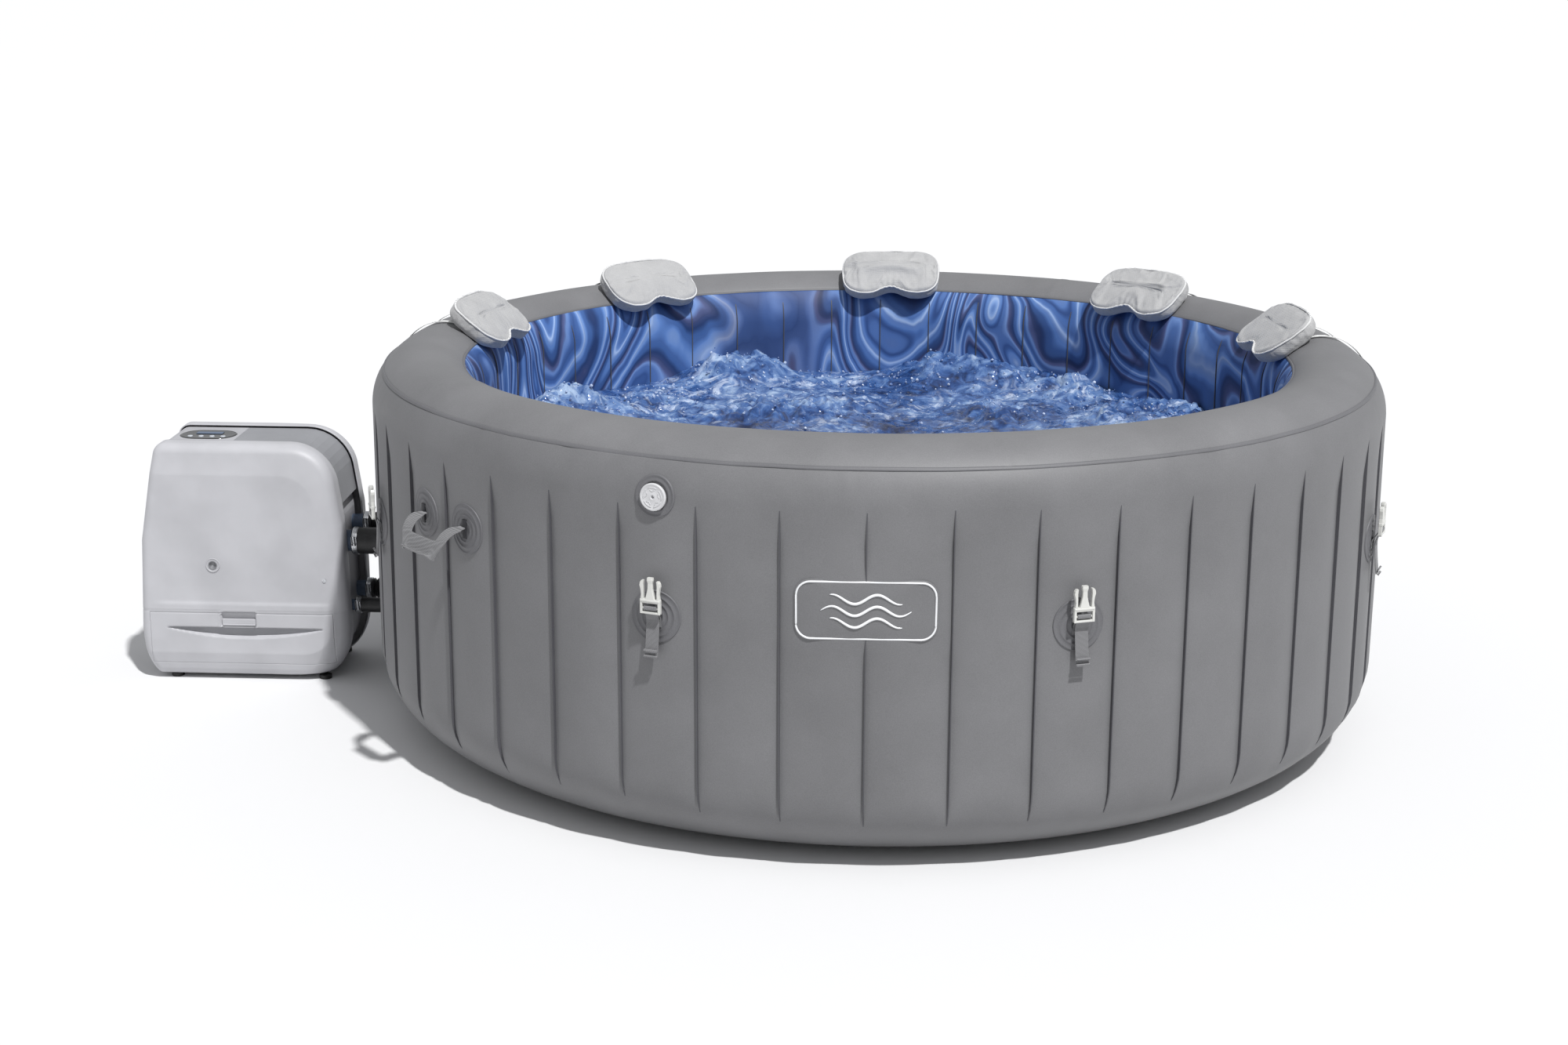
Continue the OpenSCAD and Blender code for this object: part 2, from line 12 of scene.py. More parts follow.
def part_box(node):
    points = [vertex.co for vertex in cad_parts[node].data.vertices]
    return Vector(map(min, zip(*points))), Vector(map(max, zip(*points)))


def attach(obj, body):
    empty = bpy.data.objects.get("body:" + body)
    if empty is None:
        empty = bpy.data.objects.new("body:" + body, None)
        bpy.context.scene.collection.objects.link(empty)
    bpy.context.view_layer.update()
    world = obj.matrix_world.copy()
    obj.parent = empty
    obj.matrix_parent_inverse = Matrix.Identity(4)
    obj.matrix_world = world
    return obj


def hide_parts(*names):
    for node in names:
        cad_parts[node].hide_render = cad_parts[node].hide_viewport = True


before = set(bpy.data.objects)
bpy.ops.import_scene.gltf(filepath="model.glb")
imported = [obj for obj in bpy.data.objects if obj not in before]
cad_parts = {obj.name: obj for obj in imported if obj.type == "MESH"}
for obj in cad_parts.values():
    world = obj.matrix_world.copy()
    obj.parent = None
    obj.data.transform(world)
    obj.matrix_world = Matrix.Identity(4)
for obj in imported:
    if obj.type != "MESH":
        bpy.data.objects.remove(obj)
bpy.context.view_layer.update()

# ---------- Driving sizes, in metres, read from the frame where it has them ----------

TUB_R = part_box("outer_wall")[1].x
TUB_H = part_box("rim_band")[1].z
RIM_R = 0.113
RIM_C = TUB_R - RIM_R
RIM_Z = TUB_H - RIM_R
WALL_IN = TUB_R - 2 * RIM_R
CORNER_R = 0.210
CORNER_Z = 0.160
FLOOR_Z = 0.014
LINER_CORNER = 0.060
OUTER_SEAM = math.radians(38.8)
INNER_SEAM = math.radians(136.5)
PANELS = 44
PITCH = 2 * math.pi / PANELS
FRONT = -math.pi / 2
WATER_Z = 0.568
WALL_BULGE = 0.0085
LINER_BULGE = 0.0045
VALVE_A = FRONT - 2.5 * PITCH
BUCKLE_A = [math.radians(a) for a in (-69.5, -110.5, -20.5, -159.5, 20.5, 69.5, 110.5, 159.5)]
HANDLE_A = [math.radians(a) for a in (-139.1, 40.9)]
HANDLE_SPREAD = math.radians(4.1)
PILLOW_A = [math.radians(a) for a in (169, 129.7, 88.4, 45.3, 8.6)]
BUCKLE_X = TUB_R + 0.0185
BUCKLE_Z = 0.490
HANDLE_Z = 0.560
VALVE_Z = 0.692
BADGE_Z = 0.507
PATCH_R = 0.049


# ---------- Small helpers ----------


def srgb(r, g, b):
    """A display colour in 0 to 255 as the linear colour that shaders use."""
    return tuple(
        c / 12.92 if c <= 0.04045 else ((c + 0.055) / 1.055) ** 2.4
        for c in (r / 255, g / 255, b / 255)
    ) + (1.0,)


def smooth(x, low, high):
    t = min(1.0, max(0.0, (x - low) / (high - low)))
    return t * t * (3 - 2 * t)


def arc(cx, cz, rx, rz, a0, a1, n):
    return [
        (cx + rx * math.cos(a0 + (a1 - a0) * i / n), cz + rz * math.sin(a0 + (a1 - a0) * i / n))
        for i in range(n + 1)
    ]


def around(a, x, y, z):
    """A point given in a frame turned by a round the tub: x outward, y along the wall."""
    return (x * math.cos(a) - y * math.sin(a), x * math.sin(a) + y * math.cos(a), z)


def ring_noise(theta, across, height):
    """Smooth noise that closes on itself round the tub."""
    return noise.noise(Vector((math.cos(theta) * across, math.sin(theta) * across, height)))


def make(name, verts, faces, body, mat, shade=True):
    """A mesh piece that rides on a body and has one material."""
    mesh = bpy.data.meshes.new(name)
    mesh.from_pydata([tuple(v) for v in verts], [], [tuple(f) for f in faces])
    mesh.update()
    bm = bmesh.new()
    bm.from_mesh(mesh)
    bmesh.ops.recalc_face_normals(bm, faces=bm.faces)
    bm.to_mesh(mesh)
    bm.free()
    obj = bpy.data.objects.new(name, mesh)
    bpy.context.scene.collection.objects.link(obj)
    if shade:
        mesh.polygons.foreach_set("use_smooth", [True] * len(mesh.polygons))
    mesh.materials.append(mat)
    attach(obj, body)
    return obj


def apply_modifiers(obj):
    bpy.context.view_layer.update()
    deps = bpy.context.evaluated_depsgraph_get()
    done = bpy.data.meshes.new_from_object(obj.evaluated_get(deps))
    old = obj.data
    obj.modifiers.clear()
    obj.data = done
    bpy.data.meshes.remove(old)
    return obj


def thicken(obj, thickness, offset=-1.0):
    mod = obj.modifiers.new("thick", "SOLIDIFY")
    mod.thickness = thickness
    mod.offset = offset
    return apply_modifiers(obj)


def subdivide(obj, levels=1):
    mod = obj.modifiers.new("subdivide", "SUBSURF")
    mod.levels = levels
    mod.render_levels = levels
    return apply_modifiers(obj)


class Shape:
    """Collects the vertices and faces of one piece."""

    def __init__(self):
        self.verts = []
        self.faces = []

    def add(self, verts, faces):
        base = len(self.verts)
        self.verts += [tuple(v) for v in verts]
        self.faces += [tuple(base + i for i in f) for f in faces]

    def move(self, start, place):
        """Passes the vertices from index start on through place(x, y, z)."""
        self.verts[start:] = [place(*v) for v in self.verts[start:]]

    def grid(self, rows, close_u=False, close_v=False):
        """Quads through equally long rows of points."""
        nu, nv = len(rows), len(rows[0])
        faces = []
        for i in range(nu if close_u else nu - 1):
            for j in range(nv if close_v else nv - 1):
                k, m = (i + 1) % nu, (j + 1) % nv
                faces.append((i * nv + j, i * nv + m, k * nv + m, k * nv + j))
        self.add([p for row in rows for p in row], faces)

    def loft(self, rows):
        """Closed rings of points joined in order, with both ends capped."""
        base, count = len(self.verts), len(rows[0])
        last = base + (len(rows) - 1) * count
        self.grid(rows, close_v=True)
        self.faces.append(tuple(base + k for k in range(count)))
        self.faces.append(tuple(last + k for k in range(count)))

    def piece(self, name, body, slot, look, stands_for=None, shade=True):
        """Makes the collected mesh into a piece; stands_for names the CAD node that it replaces."""
        obj = make(name, self.verts, self.faces, body, MATS[look], shade)
        if stands_for:
            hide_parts(stands_for)
        return obj

    def tube(self, path, radius, sides=12, closed=False, flat=1.0):
        """A round or flattened tube along a path, with capped ends where it is open."""
        path = [Vector(p) for p in path]
        n = len(path)
        rows = []
        up = Vector((0, 0, 1))
        for i, p in enumerate(path):
            before = path[(i - 1) % n] if closed or i else path[0]
            after = path[(i + 1) % n] if closed or i < n - 1 else path[-1]
            t = (after - before).normalized()
            side = t.cross(up)
            if side.length < 0.1:
                side = t.cross(Vector((0, 1, 0)))
            side.normalize()
            top = side.cross(t)
            r = radius[i] if isinstance(radius, (list, tuple)) else radius
            rows.append(
                [
                    p + side * r * math.cos(2 * math.pi * k / sides)
                    + top * r * flat * math.sin(2 * math.pi * k / sides)
                    for k in range(sides)
                ]
            )
        if closed:
            self.grid(rows, close_u=True, close_v=True)
        else:
            self.loft(rows)

    def lathe(self, profile, origin, axis, sides=48):
        """Turns (along, radius) points about an axis; a zero radius closes an end."""
        axis = Vector(axis).normalized()
        side = axis.cross(Vector((0, 0, 1)))
        if side.length < 0.1:
            side = Vector((1, 0, 0))
        side.normalize()
        top = axis.cross(side)
        rows = []
        for along, r in profile:
            r = max(r, 1e-5)
            rows.append(
                [
                    Vector(origin) + axis * along
                    + side * r * math.cos(2 * math.pi * k / sides)
                    + top * r * math.sin(2 * math.pi * k / sides)
                    for k in range(sides)
                ]
            )
        self.loft(rows)

    def block(self, low, high, bevel=0.001, segments=3):
        """A box with rounded edges."""
        bm = bmesh.new()
        bmesh.ops.create_cube(bm, size=1.0)
        low, high = Vector(low), Vector(high)
        for v in bm.verts:
            v.co = Vector([(low[i] + high[i]) / 2 + v.co[i] * (high[i] - low[i]) for i in range(3)])
        bmesh.ops.bevel(
            bm, geom=list(bm.edges), offset=bevel, segments=segments, profile=0.5, affect="EDGES"
        )
        self.add([v.co.copy() for v in bm.verts], [[v.index for v in f.verts] for f in bm.faces])
        bm.free()


# ---------- Materials ----------


def material(name, color, rough, **sockets):
    """A Principled material; extra sockets are given by name with _ for a space."""
    mat = bpy.data.materials.new(name)
    mat.use_nodes = True
    tree = mat.node_tree
    bsdf = tree.nodes["Principled BSDF"]
    bsdf.inputs["Base Color"].default_value = color
    bsdf.inputs["Roughness"].default_value = rough
    for key, value in sockets.items():
        bsdf.inputs[key.replace("_", " ")].default_value = value
    return mat, tree, bsdf


def node(tree, kind, **values):
    made = tree.nodes.new(kind)
    for key, value in values.items():
        if key in made.inputs.keys():
            made.inputs[key].default_value = value
        else:
            setattr(made, key, value)
    return made


def coords(tree, scale=(1, 1, 1)):
    place = node(tree, "ShaderNodeTexCoord")
    mapping = node(tree, "ShaderNodeMapping", Scale=scale)
    tree.links.new(place.outputs["Object"], mapping.inputs["Vector"])
    return mapping.outputs["Vector"]


def noise_of(tree, vector, scale, detail=3.0, rough=0.5, distort=0.0):
    tex = node(
        tree, "ShaderNodeTexNoise", Scale=scale, Detail=detail, Roughness=rough, Distortion=distort
    )
    tree.links.new(vector, tex.inputs["Vector"])
    return tex.outputs["Fac"]


def math_of(tree, operation, a, b=None, clamp=False):
    made = node(tree, "ShaderNodeMath", operation=operation, use_clamp=clamp)
    for i, value in enumerate((a, b)):
        if value is None:
            continue
        if isinstance(value, (int, float)):
            made.inputs[i].default_value = value
        else:
            tree.links.new(value, made.inputs[i])
    return made.outputs[0]


def ramp_of(tree, fac, stops, ease="LINEAR"):
    made = node(tree, "ShaderNodeValToRGB")
    ramp = made.color_ramp
    ramp.interpolation = ease
    while len(ramp.elements) > 1:
        ramp.elements.remove(ramp.elements[-1])
    ramp.elements[0].position, ramp.elements[0].color = stops[0]
    for place, color in stops[1:]:
        ramp.elements.new(place).color = color
    tree.links.new(fac, made.inputs["Fac"])
    return made.outputs["Color"]


def mix_of(tree, fac, a, b, blend="MIX"):
    made = node(tree, "ShaderNodeMix", data_type="RGBA", blend_type=blend)
    for socket, value in ((0, fac), (6, a), (7, b)):
        if isinstance(value, (int, float, tuple)):
            made.inputs[socket].default_value = value
        else:
            tree.links.new(value, made.inputs[socket])
    return made.outputs[2]


def bump(tree, bsdf, height, strength, distance, under=None):
    made = node(tree, "ShaderNodeBump", Strength=strength, Distance=distance)
    tree.links.new(height, made.inputs["Height"])
    if under:
        tree.links.new(under, made.inputs["Normal"])
    tree.links.new(made.outputs["Normal"], bsdf.inputs["Normal"])
    return made.outputs["Normal"]


def laminate(name, color, rough=0.52):
    """Woven-backed vinyl: a fine grain, soft blotches and slow dents."""
    mat, tree, bsdf = material(name, color, rough, IOR=1.45)
    place = coords(tree)
    blotch = noise_of(tree, place, 5.0, 4.0, 0.6)
    grain = noise_of(tree, place, 520.0, 2.0, 0.7)
    tone = math_of(tree, "ADD", math_of(tree, "MULTIPLY", blotch, 0.5), math_of(tree, "MULTIPLY", grain, 0.5))
    dark = tuple(c * 0.82 for c in color[:3]) + (1.0,)
    light = tuple(min(1.0, c * 1.18) for c in color[:3]) + (1.0,)
    tree.links.new(ramp_of(tree, tone, [(0.3, dark), (0.7, light)]), bsdf.inputs["Base Color"])
    rough_ramp = ramp_of(
        tree, blotch, [(0.3, (rough - 0.06,) * 3 + (1,)), (0.7, (rough + 0.06,) * 3 + (1,))]
    )
    tree.links.new(rough_ramp, bsdf.inputs["Roughness"])
    slow = bump(tree, bsdf, noise_of(tree, place, 26.0, 2.0), 0.10, 0.004)
    bump(tree, bsdf, grain, 0.16, 0.0006, slow)
    return mat


def plastic(name, color, rough=0.42, grain=900.0, strength=0.10):
    """Moulded plastic: spark-eroded grain and a little drift in tone."""
    mat, tree, bsdf = material(name, color, rough, IOR=1.46)
    place = coords(tree)
    drift = noise_of(tree, place, 9.0, 3.0)
    dark = tuple(c * 0.93 for c in color[:3]) + (1.0,)
    light = tuple(min(1.0, c * 1.05) for c in color[:3]) + (1.0,)
    tree.links.new(ramp_of(tree, drift, [(0.35, dark), (0.65, light)]), bsdf.inputs["Base Color"])
    bump(tree, bsdf, noise_of(tree, place, grain, 2.0), strength, 0.0005)
    return mat


def gloss(name, color, rough=0.08):
    mat, tree, bsdf = material(name, color, rough, IOR=1.5, Coat_Weight=0.6, Coat_Roughness=0.04)
    smear = noise_of(tree, coords(tree), 30.0, 3.0)
    ramp = ramp_of(tree, smear, [(0.4, (rough,) * 3 + (1,)), (0.7, (rough + 0.07,) * 3 + (1,))])
    tree.links.new(ramp, bsdf.inputs["Roughness"])
    return mat


def metal(name, color, rough=0.28):
    mat, tree, bsdf = material(name, color, rough, Metallic=1.0)
    brushed = noise_of(tree, coords(tree, (40, 1400, 1400)), 1.0, 3.0)
    ramp = ramp_of(tree, brushed, [(0.3, (rough - 0.1,) * 3 + (1,)), (0.7, (rough + 0.12,) * 3 + (1,))])
    tree.links.new(ramp, bsdf.inputs["Roughness"])
    bump(tree, bsdf, brushed, 0.08, 0.0003)
    return mat


def rubber(name, color=(0.012, 0.012, 0.013, 1), rough=0.45):
    mat, tree, bsdf = material(name, color, rough, IOR=1.5)
    place = coords(tree)
    dust = noise_of(tree, place, 45.0, 5.0, 0.7)
    dull = tuple(c * 2.2 + 0.004 for c in color[:3]) + (1.0,)
    tree.links.new(ramp_of(tree, dust, [(0.45, color), (0.75, dull)]), bsdf.inputs["Base Color"])
    bump(tree, bsdf, noise_of(tree, place, 700.0, 2.0), 0.12, 0.0005)
    return mat


def webbing(name, color):
    """Woven strap: fine diagonal and cross ribs."""
    mat, tree, bsdf = material(name, color, 0.78, Sheen_Weight=0.25, Sheen_Roughness=0.5)
    place = coords(tree)
    wave = node(tree, "ShaderNodeTexWave", Scale=190.0, Distortion=0.6)
    wave.bands_direction = "Z"
    tree.links.new(place, wave.inputs["Vector"])
    cross = node(tree, "ShaderNodeTexWave", Scale=260.0, Distortion=0.4)
    cross.bands_direction = "DIAGONAL"
    tree.links.new(place, cross.inputs["Vector"])
    height = math_of(tree, "ADD", wave.outputs["Fac"], math_of(tree, "MULTIPLY", cross.outputs["Fac"], 0.6))
    dark = tuple(c * 0.55 for c in color[:3]) + (1.0,)
    light = tuple(min(1.0, c * 1.5) for c in color[:3]) + (1.0,)
    tree.links.new(ramp_of(tree, height, [(0.2, dark), (1.0, light)]), bsdf.inputs["Base Color"])
    bump(tree, bsdf, height, 0.5, 0.0012)
    return mat


def mesh_fabric(name, color):
    """Air-mesh cloth: a fine open knit with small regular pits."""
    mat, tree, bsdf = material(name, color, 0.85, Sheen_Weight=0.3, Sheen_Roughness=0.4)
    place = coords(tree)
    cells = node(tree, "ShaderNodeTexVoronoi", Scale=330.0, Randomness=0.25)
    tree.links.new(place, cells.inputs["Vector"])
    pits = cells.outputs["Distance"]
    dark = tuple(c * 0.66 for c in color[:3]) + (1.0,)
    weave = ramp_of(tree, pits, [(0.05, dark), (0.32, color)])
    blotch = noise_of(tree, place, 14.0, 4.0, 0.6)
    tint = ramp_of(tree, blotch, [(0.3, (0.86, 0.86, 0.87, 1)), (0.7, (1, 1, 1, 1))])
    tree.links.new(mix_of(tree, 1.0, weave, tint, "MULTIPLY"), bsdf.inputs["Base Color"])
    slow = bump(tree, bsdf, noise_of(tree, place, 60.0, 3.0), 0.2, 0.003)
    bump(tree, bsdf, pits, 0.5, 0.0012, slow)
    return mat


def agate(name):
    """The liner's print: nested bands of blue with pale veins and brown-violet arcs."""
    mat, tree, bsdf = material(name, srgb(40, 80, 150), 0.58, IOR=1.40)
    place = coords(tree, (1.0, 1.0, 0.62))
    field = noise_of(tree, place, 3.3, 0.8, 0.4, 1.3)
    ripple = noise_of(tree, place, 11.0, 2.0, 0.5, 0.4)
    wide = math_of(tree, "MULTIPLY", field, 7.0)
    level = math_of(tree, "ADD", wide, math_of(tree, "MULTIPLY", ripple, 0.3))
    bands = ramp_of(
        tree,
        math_of(tree, "FRACT", level),
        [
            (0.00, srgb(36, 60, 108)),
            (0.12, srgb(60, 94, 152)),
            (0.24, srgb(88, 124, 184)),
            (0.31, srgb(126, 156, 206)),
            (0.35, srgb(160, 184, 222)),
            (0.40, srgb(104, 138, 196)),
            (0.50, srgb(72, 108, 170)),
            (0.58, srgb(50, 80, 136)),
            (0.68, srgb(80, 114, 174)),
            (0.78, srgb(108, 138, 192)),
            (0.84, srgb(84, 94, 138)),
            (0.92, srgb(48, 62, 104)),
            (1.00, srgb(36, 60, 108)),
        ],
    )
    fine = math_of(tree, "FRACT", math_of(tree, "MULTIPLY", level, 6.3))
    streaks = ramp_of(
        tree, fine, [(0.0, (0.70, 0.74, 0.8, 1)), (0.5, (1.16, 1.15, 1.12, 1)), (1.0, (0.70, 0.74, 0.8, 1))]
    )
    streaked = mix_of(tree, 0.75, bands, streaks, "MULTIPLY")
    warm = noise_of(tree, coords(tree, (1.6, 1.6, 0.5)), 1.9, 1.0, 0.4, 0.8)
    patch = math_of(tree, "MULTIPLY", ramp_of(tree, warm, [(0.56, (0, 0, 0, 1)), (0.66, (1, 1, 1, 1))]), 0.55)
    umber = mix_of(tree, 1.0, streaked, (0.55, 0.40, 0.42, 1.0), "MULTIPLY")
    tree.links.new(mix_of(tree, patch, streaked, umber), bsdf.inputs["Base Color"])
    bump(tree, bsdf, noise_of(tree, coords(tree), 40.0, 2.0), 0.08, 0.003)
    return mat


def water_look(name):
    """Boiling blue water: dark troughs, clear blue faces, and froth on part of the crests."""
    mat, tree, bsdf = material(name, srgb(50, 90, 160), 0.07, IOR=1.33, Coat_Weight=0.8, Coat_Roughness=0.03)
    place = coords(tree)
    patch = noise_of(tree, place, 4.5, 4.0, 0.6)
    small = noise_of(tree, place, 26.0, 3.0, 0.6, 0.8)
    tone = math_of(tree, "ADD", math_of(tree, "MULTIPLY", patch, 0.5), math_of(tree, "MULTIPLY", small, 0.5))
    high = node(tree, "ShaderNodeSeparateXYZ")
    tree.links.new(place, high.inputs[0])
    lift = math_of(tree, "MULTIPLY", math_of(tree, "SUBTRACT", high.outputs["Z"], WATER_Z), 1.2)
    blues = ramp_of(
        tree,
        math_of(tree, "ADD", tone, lift),
        [
            (0.37, srgb(14, 30, 66)),
            (0.44, srgb(30, 60, 112)),
            (0.50, srgb(56, 90, 146)),
            (0.56, srgb(94, 124, 172)),
            (0.64, srgb(156, 178, 208)),
        ],
    )
    lace = noise_of(tree, place, 16.0, 6.0, 0.72, 1.2)
    froth = ramp_of(tree, lace, [(0.53, (0, 0, 0, 1)), (0.62, (1, 1, 1, 1))])
    where = ramp_of(tree, patch, [(0.42, (0, 0, 0, 1)), (0.58, (0.85, 0.85, 0.85, 1))])
    amount = math_of(tree, "MULTIPLY", froth, where)
    tree.links.new(mix_of(tree, amount, blues, srgb(196, 208, 228)), bsdf.inputs["Base Color"])
    first = bump(tree, bsdf, noise_of(tree, place, 60.0, 3.0, 0.6), 0.5, 0.008)
    cells = node(tree, "ShaderNodeTexVoronoi", Scale=85.0)
    tree.links.new(place, cells.inputs["Vector"])
    bump(tree, bsdf, cells.outputs["Distance"], -0.9, 0.006, first)
    return mat


MATS = {
    "wall": laminate("wall_laminate_look", srgb(113, 113, 115)),
    "rim": laminate("rim_laminate_look", srgb(117, 117, 119)),
    "seam": laminate("seam_look", srgb(104, 104, 107)),
    "liner": agate("liner_print_look"),
    "water": water_look("water_look"),
    "base": laminate("base_laminate_look", srgb(80, 80, 84)),
    "badge": gloss("badge_line_look", srgb(232, 233, 235), 0.3),
    "valve": plastic("valve_look", srgb(205, 205, 207), 0.4),
    "buckle": plastic("buckle_look", srgb(206, 206, 202), 0.3, 600.0, 0.05),
    "webbing": webbing("webbing_look", srgb(112, 112, 114)),
    "handle": webbing("handle_webbing_look", srgb(112, 112, 114)),
    "strap": webbing("strap_look", srgb(214, 214, 212)),
    "pillow": mesh_fabric("pillow_look", srgb(180, 180, 180)),
    "piping": webbing("piping_look", srgb(205, 205, 205)),
    "shell": plastic("pump_shell_look", srgb(184, 184, 188), 0.45),
    "core": plastic("pump_core_look", srgb(172, 172, 176), 0.5),
    "cover": plastic("pump_cover_look", srgb(140, 141, 145), 0.5),
    "dark": plastic("dark_plastic_look", srgb(38, 38, 42), 0.55),
    "panel": gloss("panel_look", srgb(14, 14, 16)),
    "button": plastic("button_look", srgb(190, 194, 200), 0.3),
    "pipe": plastic("pipe_look", srgb(92, 106, 128), 0.38),
    "hose": rubber("hose_look"),
    "feet": rubber("feet_look", (0.01, 0.01, 0.01, 1), 0.6),
    "steel": metal("clamp_steel_look", srgb(205, 207, 210)),
    "brass": metal("impeller_look", srgb(190, 150, 80), 0.35),
    "board": plastic("board_look", srgb(28, 92, 52), 0.35, 200.0, 0.3),
    "filter": mesh_fabric("filter_look", srgb(225, 226, 230)),
    "jet": plastic("jet_look", srgb(70, 92, 128), 0.35),
}


def paint_node(name, key):
    """Gives a carried-over CAD node its material."""
    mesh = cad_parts[name].data
    mesh.materials.clear()
    mesh.materials.append(MATS[key])


# ---------- Camera, floor and light ----------


def make_camera():
    forward = Vector((-0.04812, 0.96618, -0.25334)).normalized()
    roll = -0.0044
    right = forward.cross(Vector((0, 0, 1))).normalized()
    up = right.cross(forward)
    x = right * math.cos(roll) - up * math.sin(roll)
    y = right * math.sin(roll) + up * math.cos(roll)
    data = bpy.data.cameras.new("camera")
    data.lens = 54.26
    data.sensor_width = 36.0
    data.clip_end = 300.0
    cam = bpy.data.objects.new("camera", data)
    cam.matrix_world = Matrix.Translation((0.0533, -5.0523, 1.7073)) @ Matrix(
        (x, y, -forward)
    ).transposed().to_4x4()
    bpy.context.scene.collection.objects.link(cam)
    bpy.context.scene.camera = cam


def make_stage():
    half = 60.0
    mat, tree, bsdf = material("floor_look", (0.76, 0.76, 0.765, 1), 0.9)
    bump(tree, bsdf, noise_of(tree, coords(tree), 8.0, 4.0), 0.02, 0.01)
    mesh = bpy.data.meshes.new("floor")
    corners = [(-half, -half, 0), (half, -half, 0), (half, half, 0), (-half, half, 0)]
    mesh.from_pydata(corners, [], [(0, 1, 2, 3)])
    floor = bpy.data.objects.new("floor", mesh)
    floor.location.z = -0.0005
    mesh.materials.append(mat)
    bpy.context.scene.collection.objects.link(floor)
    world = bpy.data.worlds.new("studio")
    bpy.context.scene.world = world
    world.use_nodes = True
    world.node_tree.nodes["Background"].inputs["Color"].default_value = (0.96, 0.975, 1.0, 1)
    world.node_tree.nodes["Background"].inputs["Strength"].default_value = 0.45
    sun = bpy.data.lights.new("key", "SUN")
    sun.energy = 3.4
    sun.angle = math.radians(2.0)
    lamp = bpy.data.objects.new("key", sun)
    lamp.rotation_euler = Vector((-0.33, 0.50, -0.98)).to_track_quat("-Z", "Y").to_euler()
    bpy.context.scene.collection.objects.link(lamp)
    bpy.context.scene.view_settings.view_transform = "Standard"


make_camera()
make_stage()


# ---------- The tub's skins ----------


def panel_shape(theta):
    """0 at a seam and 1 on the crest of a panel."""
    u = ((theta - FRONT) / PITCH) % 1.0
    return 1.0 - abs(2 * u - 1) ** 2.1


def wall_depth(theta, z):
    """How far the outer wall lies inside its largest radius."""
    fade = smooth(z, 0.06, 0.17) * (1 - smooth(z, 0.60, 0.715))
    dent = (1 - panel_shape(theta)) * WALL_BULGE * fade
    across = ((theta - FRONT + math.pi) % (2 * math.pi) - math.pi) * TUB_R
    dent *= 1 - 0.8 * (1 - smooth(abs(across), 0.12, 0.17)) * (1 - smooth(abs(z - BADGE_Z), 0.05, 0.10))
    dent += 0.0018 * (ring_noise(theta, 3.0, z * 2.0) + 0.5)
    pucker = math.exp(-(((z - 0.735) / 0.035) ** 2))
    fine = ring_noise(theta, 34, z * 7)
    gate = smooth(ring_noise(theta, 2.2, 4.0), -0.05, 0.35)
    dent += 0.0030 * pucker * gate * max(0.0, fine)
    foot = math.exp(-(((z - 0.10) / 0.05) ** 2))
    crease = ring_noise(theta, 16, z * 5)
    dent += 0.0035 * foot * max(0.0, crease)
    return dent


def wall_radius(theta, z):
    """Radius of the outer wall's surface at a height on its upright stretch or the rim's outer side."""
    base = TUB_R
    if z > RIM_Z:
        base = RIM_C + math.sqrt(max(0.0, RIM_R**2 - (z - RIM_Z) ** 2))
    return base - wall_depth(theta, z)


def rim_lift(theta, a):
    """Small unevenness of the rim, and its welded radial joints."""
    lift = 0.0012 * ring_noise(theta, 5, a * 2)
    for joint in JOINTS:
        off = abs((theta - joint + math.pi) % (2 * math.pi) - math.pi)
        lift += 0.0007 * (1 - smooth(off, 0.0075, 0.0085))
    return lift - 0.0012


JOINTS = [math.radians(a) for a in (-76.5, -148.0, 62.0, 158.0)]
COLUMNS = PANELS * 24


def revolve(profile, place, columns=COLUMNS):
    """Turns a closed profile round the tub; place(theta, index, r, z) gives each point's r and z."""
    shape = Shape()
    rows = []
    for i in range(columns):
        theta = FRONT + 2 * math.pi * i / columns
        row = []
        for j, (r, z) in enumerate(profile):
            rr, zz = place(theta, j, r, z)
            row.append((rr * math.cos(theta), rr * math.sin(theta), zz))
        rows.append(row)
    shape.grid(rows, close_u=True, close_v=True)
    return shape


def make_outer_wall():
    foot = arc(TUB_R - CORNER_R, CORNER_Z, CORNER_R, CORNER_Z, -math.pi / 2, 0, 14)
    upright = [(TUB_R, CORNER_Z + (RIM_Z - CORNER_Z) * i / 16) for i in range(1, 16)]
    top = arc(RIM_C, RIM_Z, RIM_R, RIM_R, 0, OUTER_SEAM, 12)
    outside = foot + upright + top
    inside = [
        (RIM_C + 0.085, 0.745), (TUB_R - 0.03, 0.68), (TUB_R - 0.03, 0.3), (TUB_R - 0.06, 0.12), (0.9, 0.02),
    ]

    def place(theta, j, r, z):
        if j >= len(outside):
            return r, z
        return r - wall_depth(theta, z) * min(1.0, 0.02 + z / 0.06), z

    shape = revolve(outside + inside, place)
    shape.piece("tub_outer_wall", "tub", "wall_laminate", "wall", "outer_wall")


def make_rim():
    outside = arc(RIM_C, RIM_Z, RIM_R, RIM_R, OUTER_SEAM - 0.03, INNER_SEAM + 0.02, 40)
    inside = arc(RIM_C, RIM_Z, RIM_R - 0.012, RIM_R - 0.012, INNER_SEAM, OUTER_SEAM, 8)

    def place(theta, j, r, z):
        if j >= len(outside):
            return r, z
        a = math.atan2(z - RIM_Z, r - RIM_C)
        lift = rim_lift(theta, a)
        edge = min(a - OUTER_SEAM + 0.03, INNER_SEAM + 0.02 - a)
        lift -= 0.0022 * (1 - smooth(edge, 0.0, 0.03))
        return r + lift * math.cos(a), z + lift * math.sin(a)

    shape = revolve(outside + inside, place)
    shape.piece("tub_rim", "tub", "rim_laminate", "rim", "rim_band")


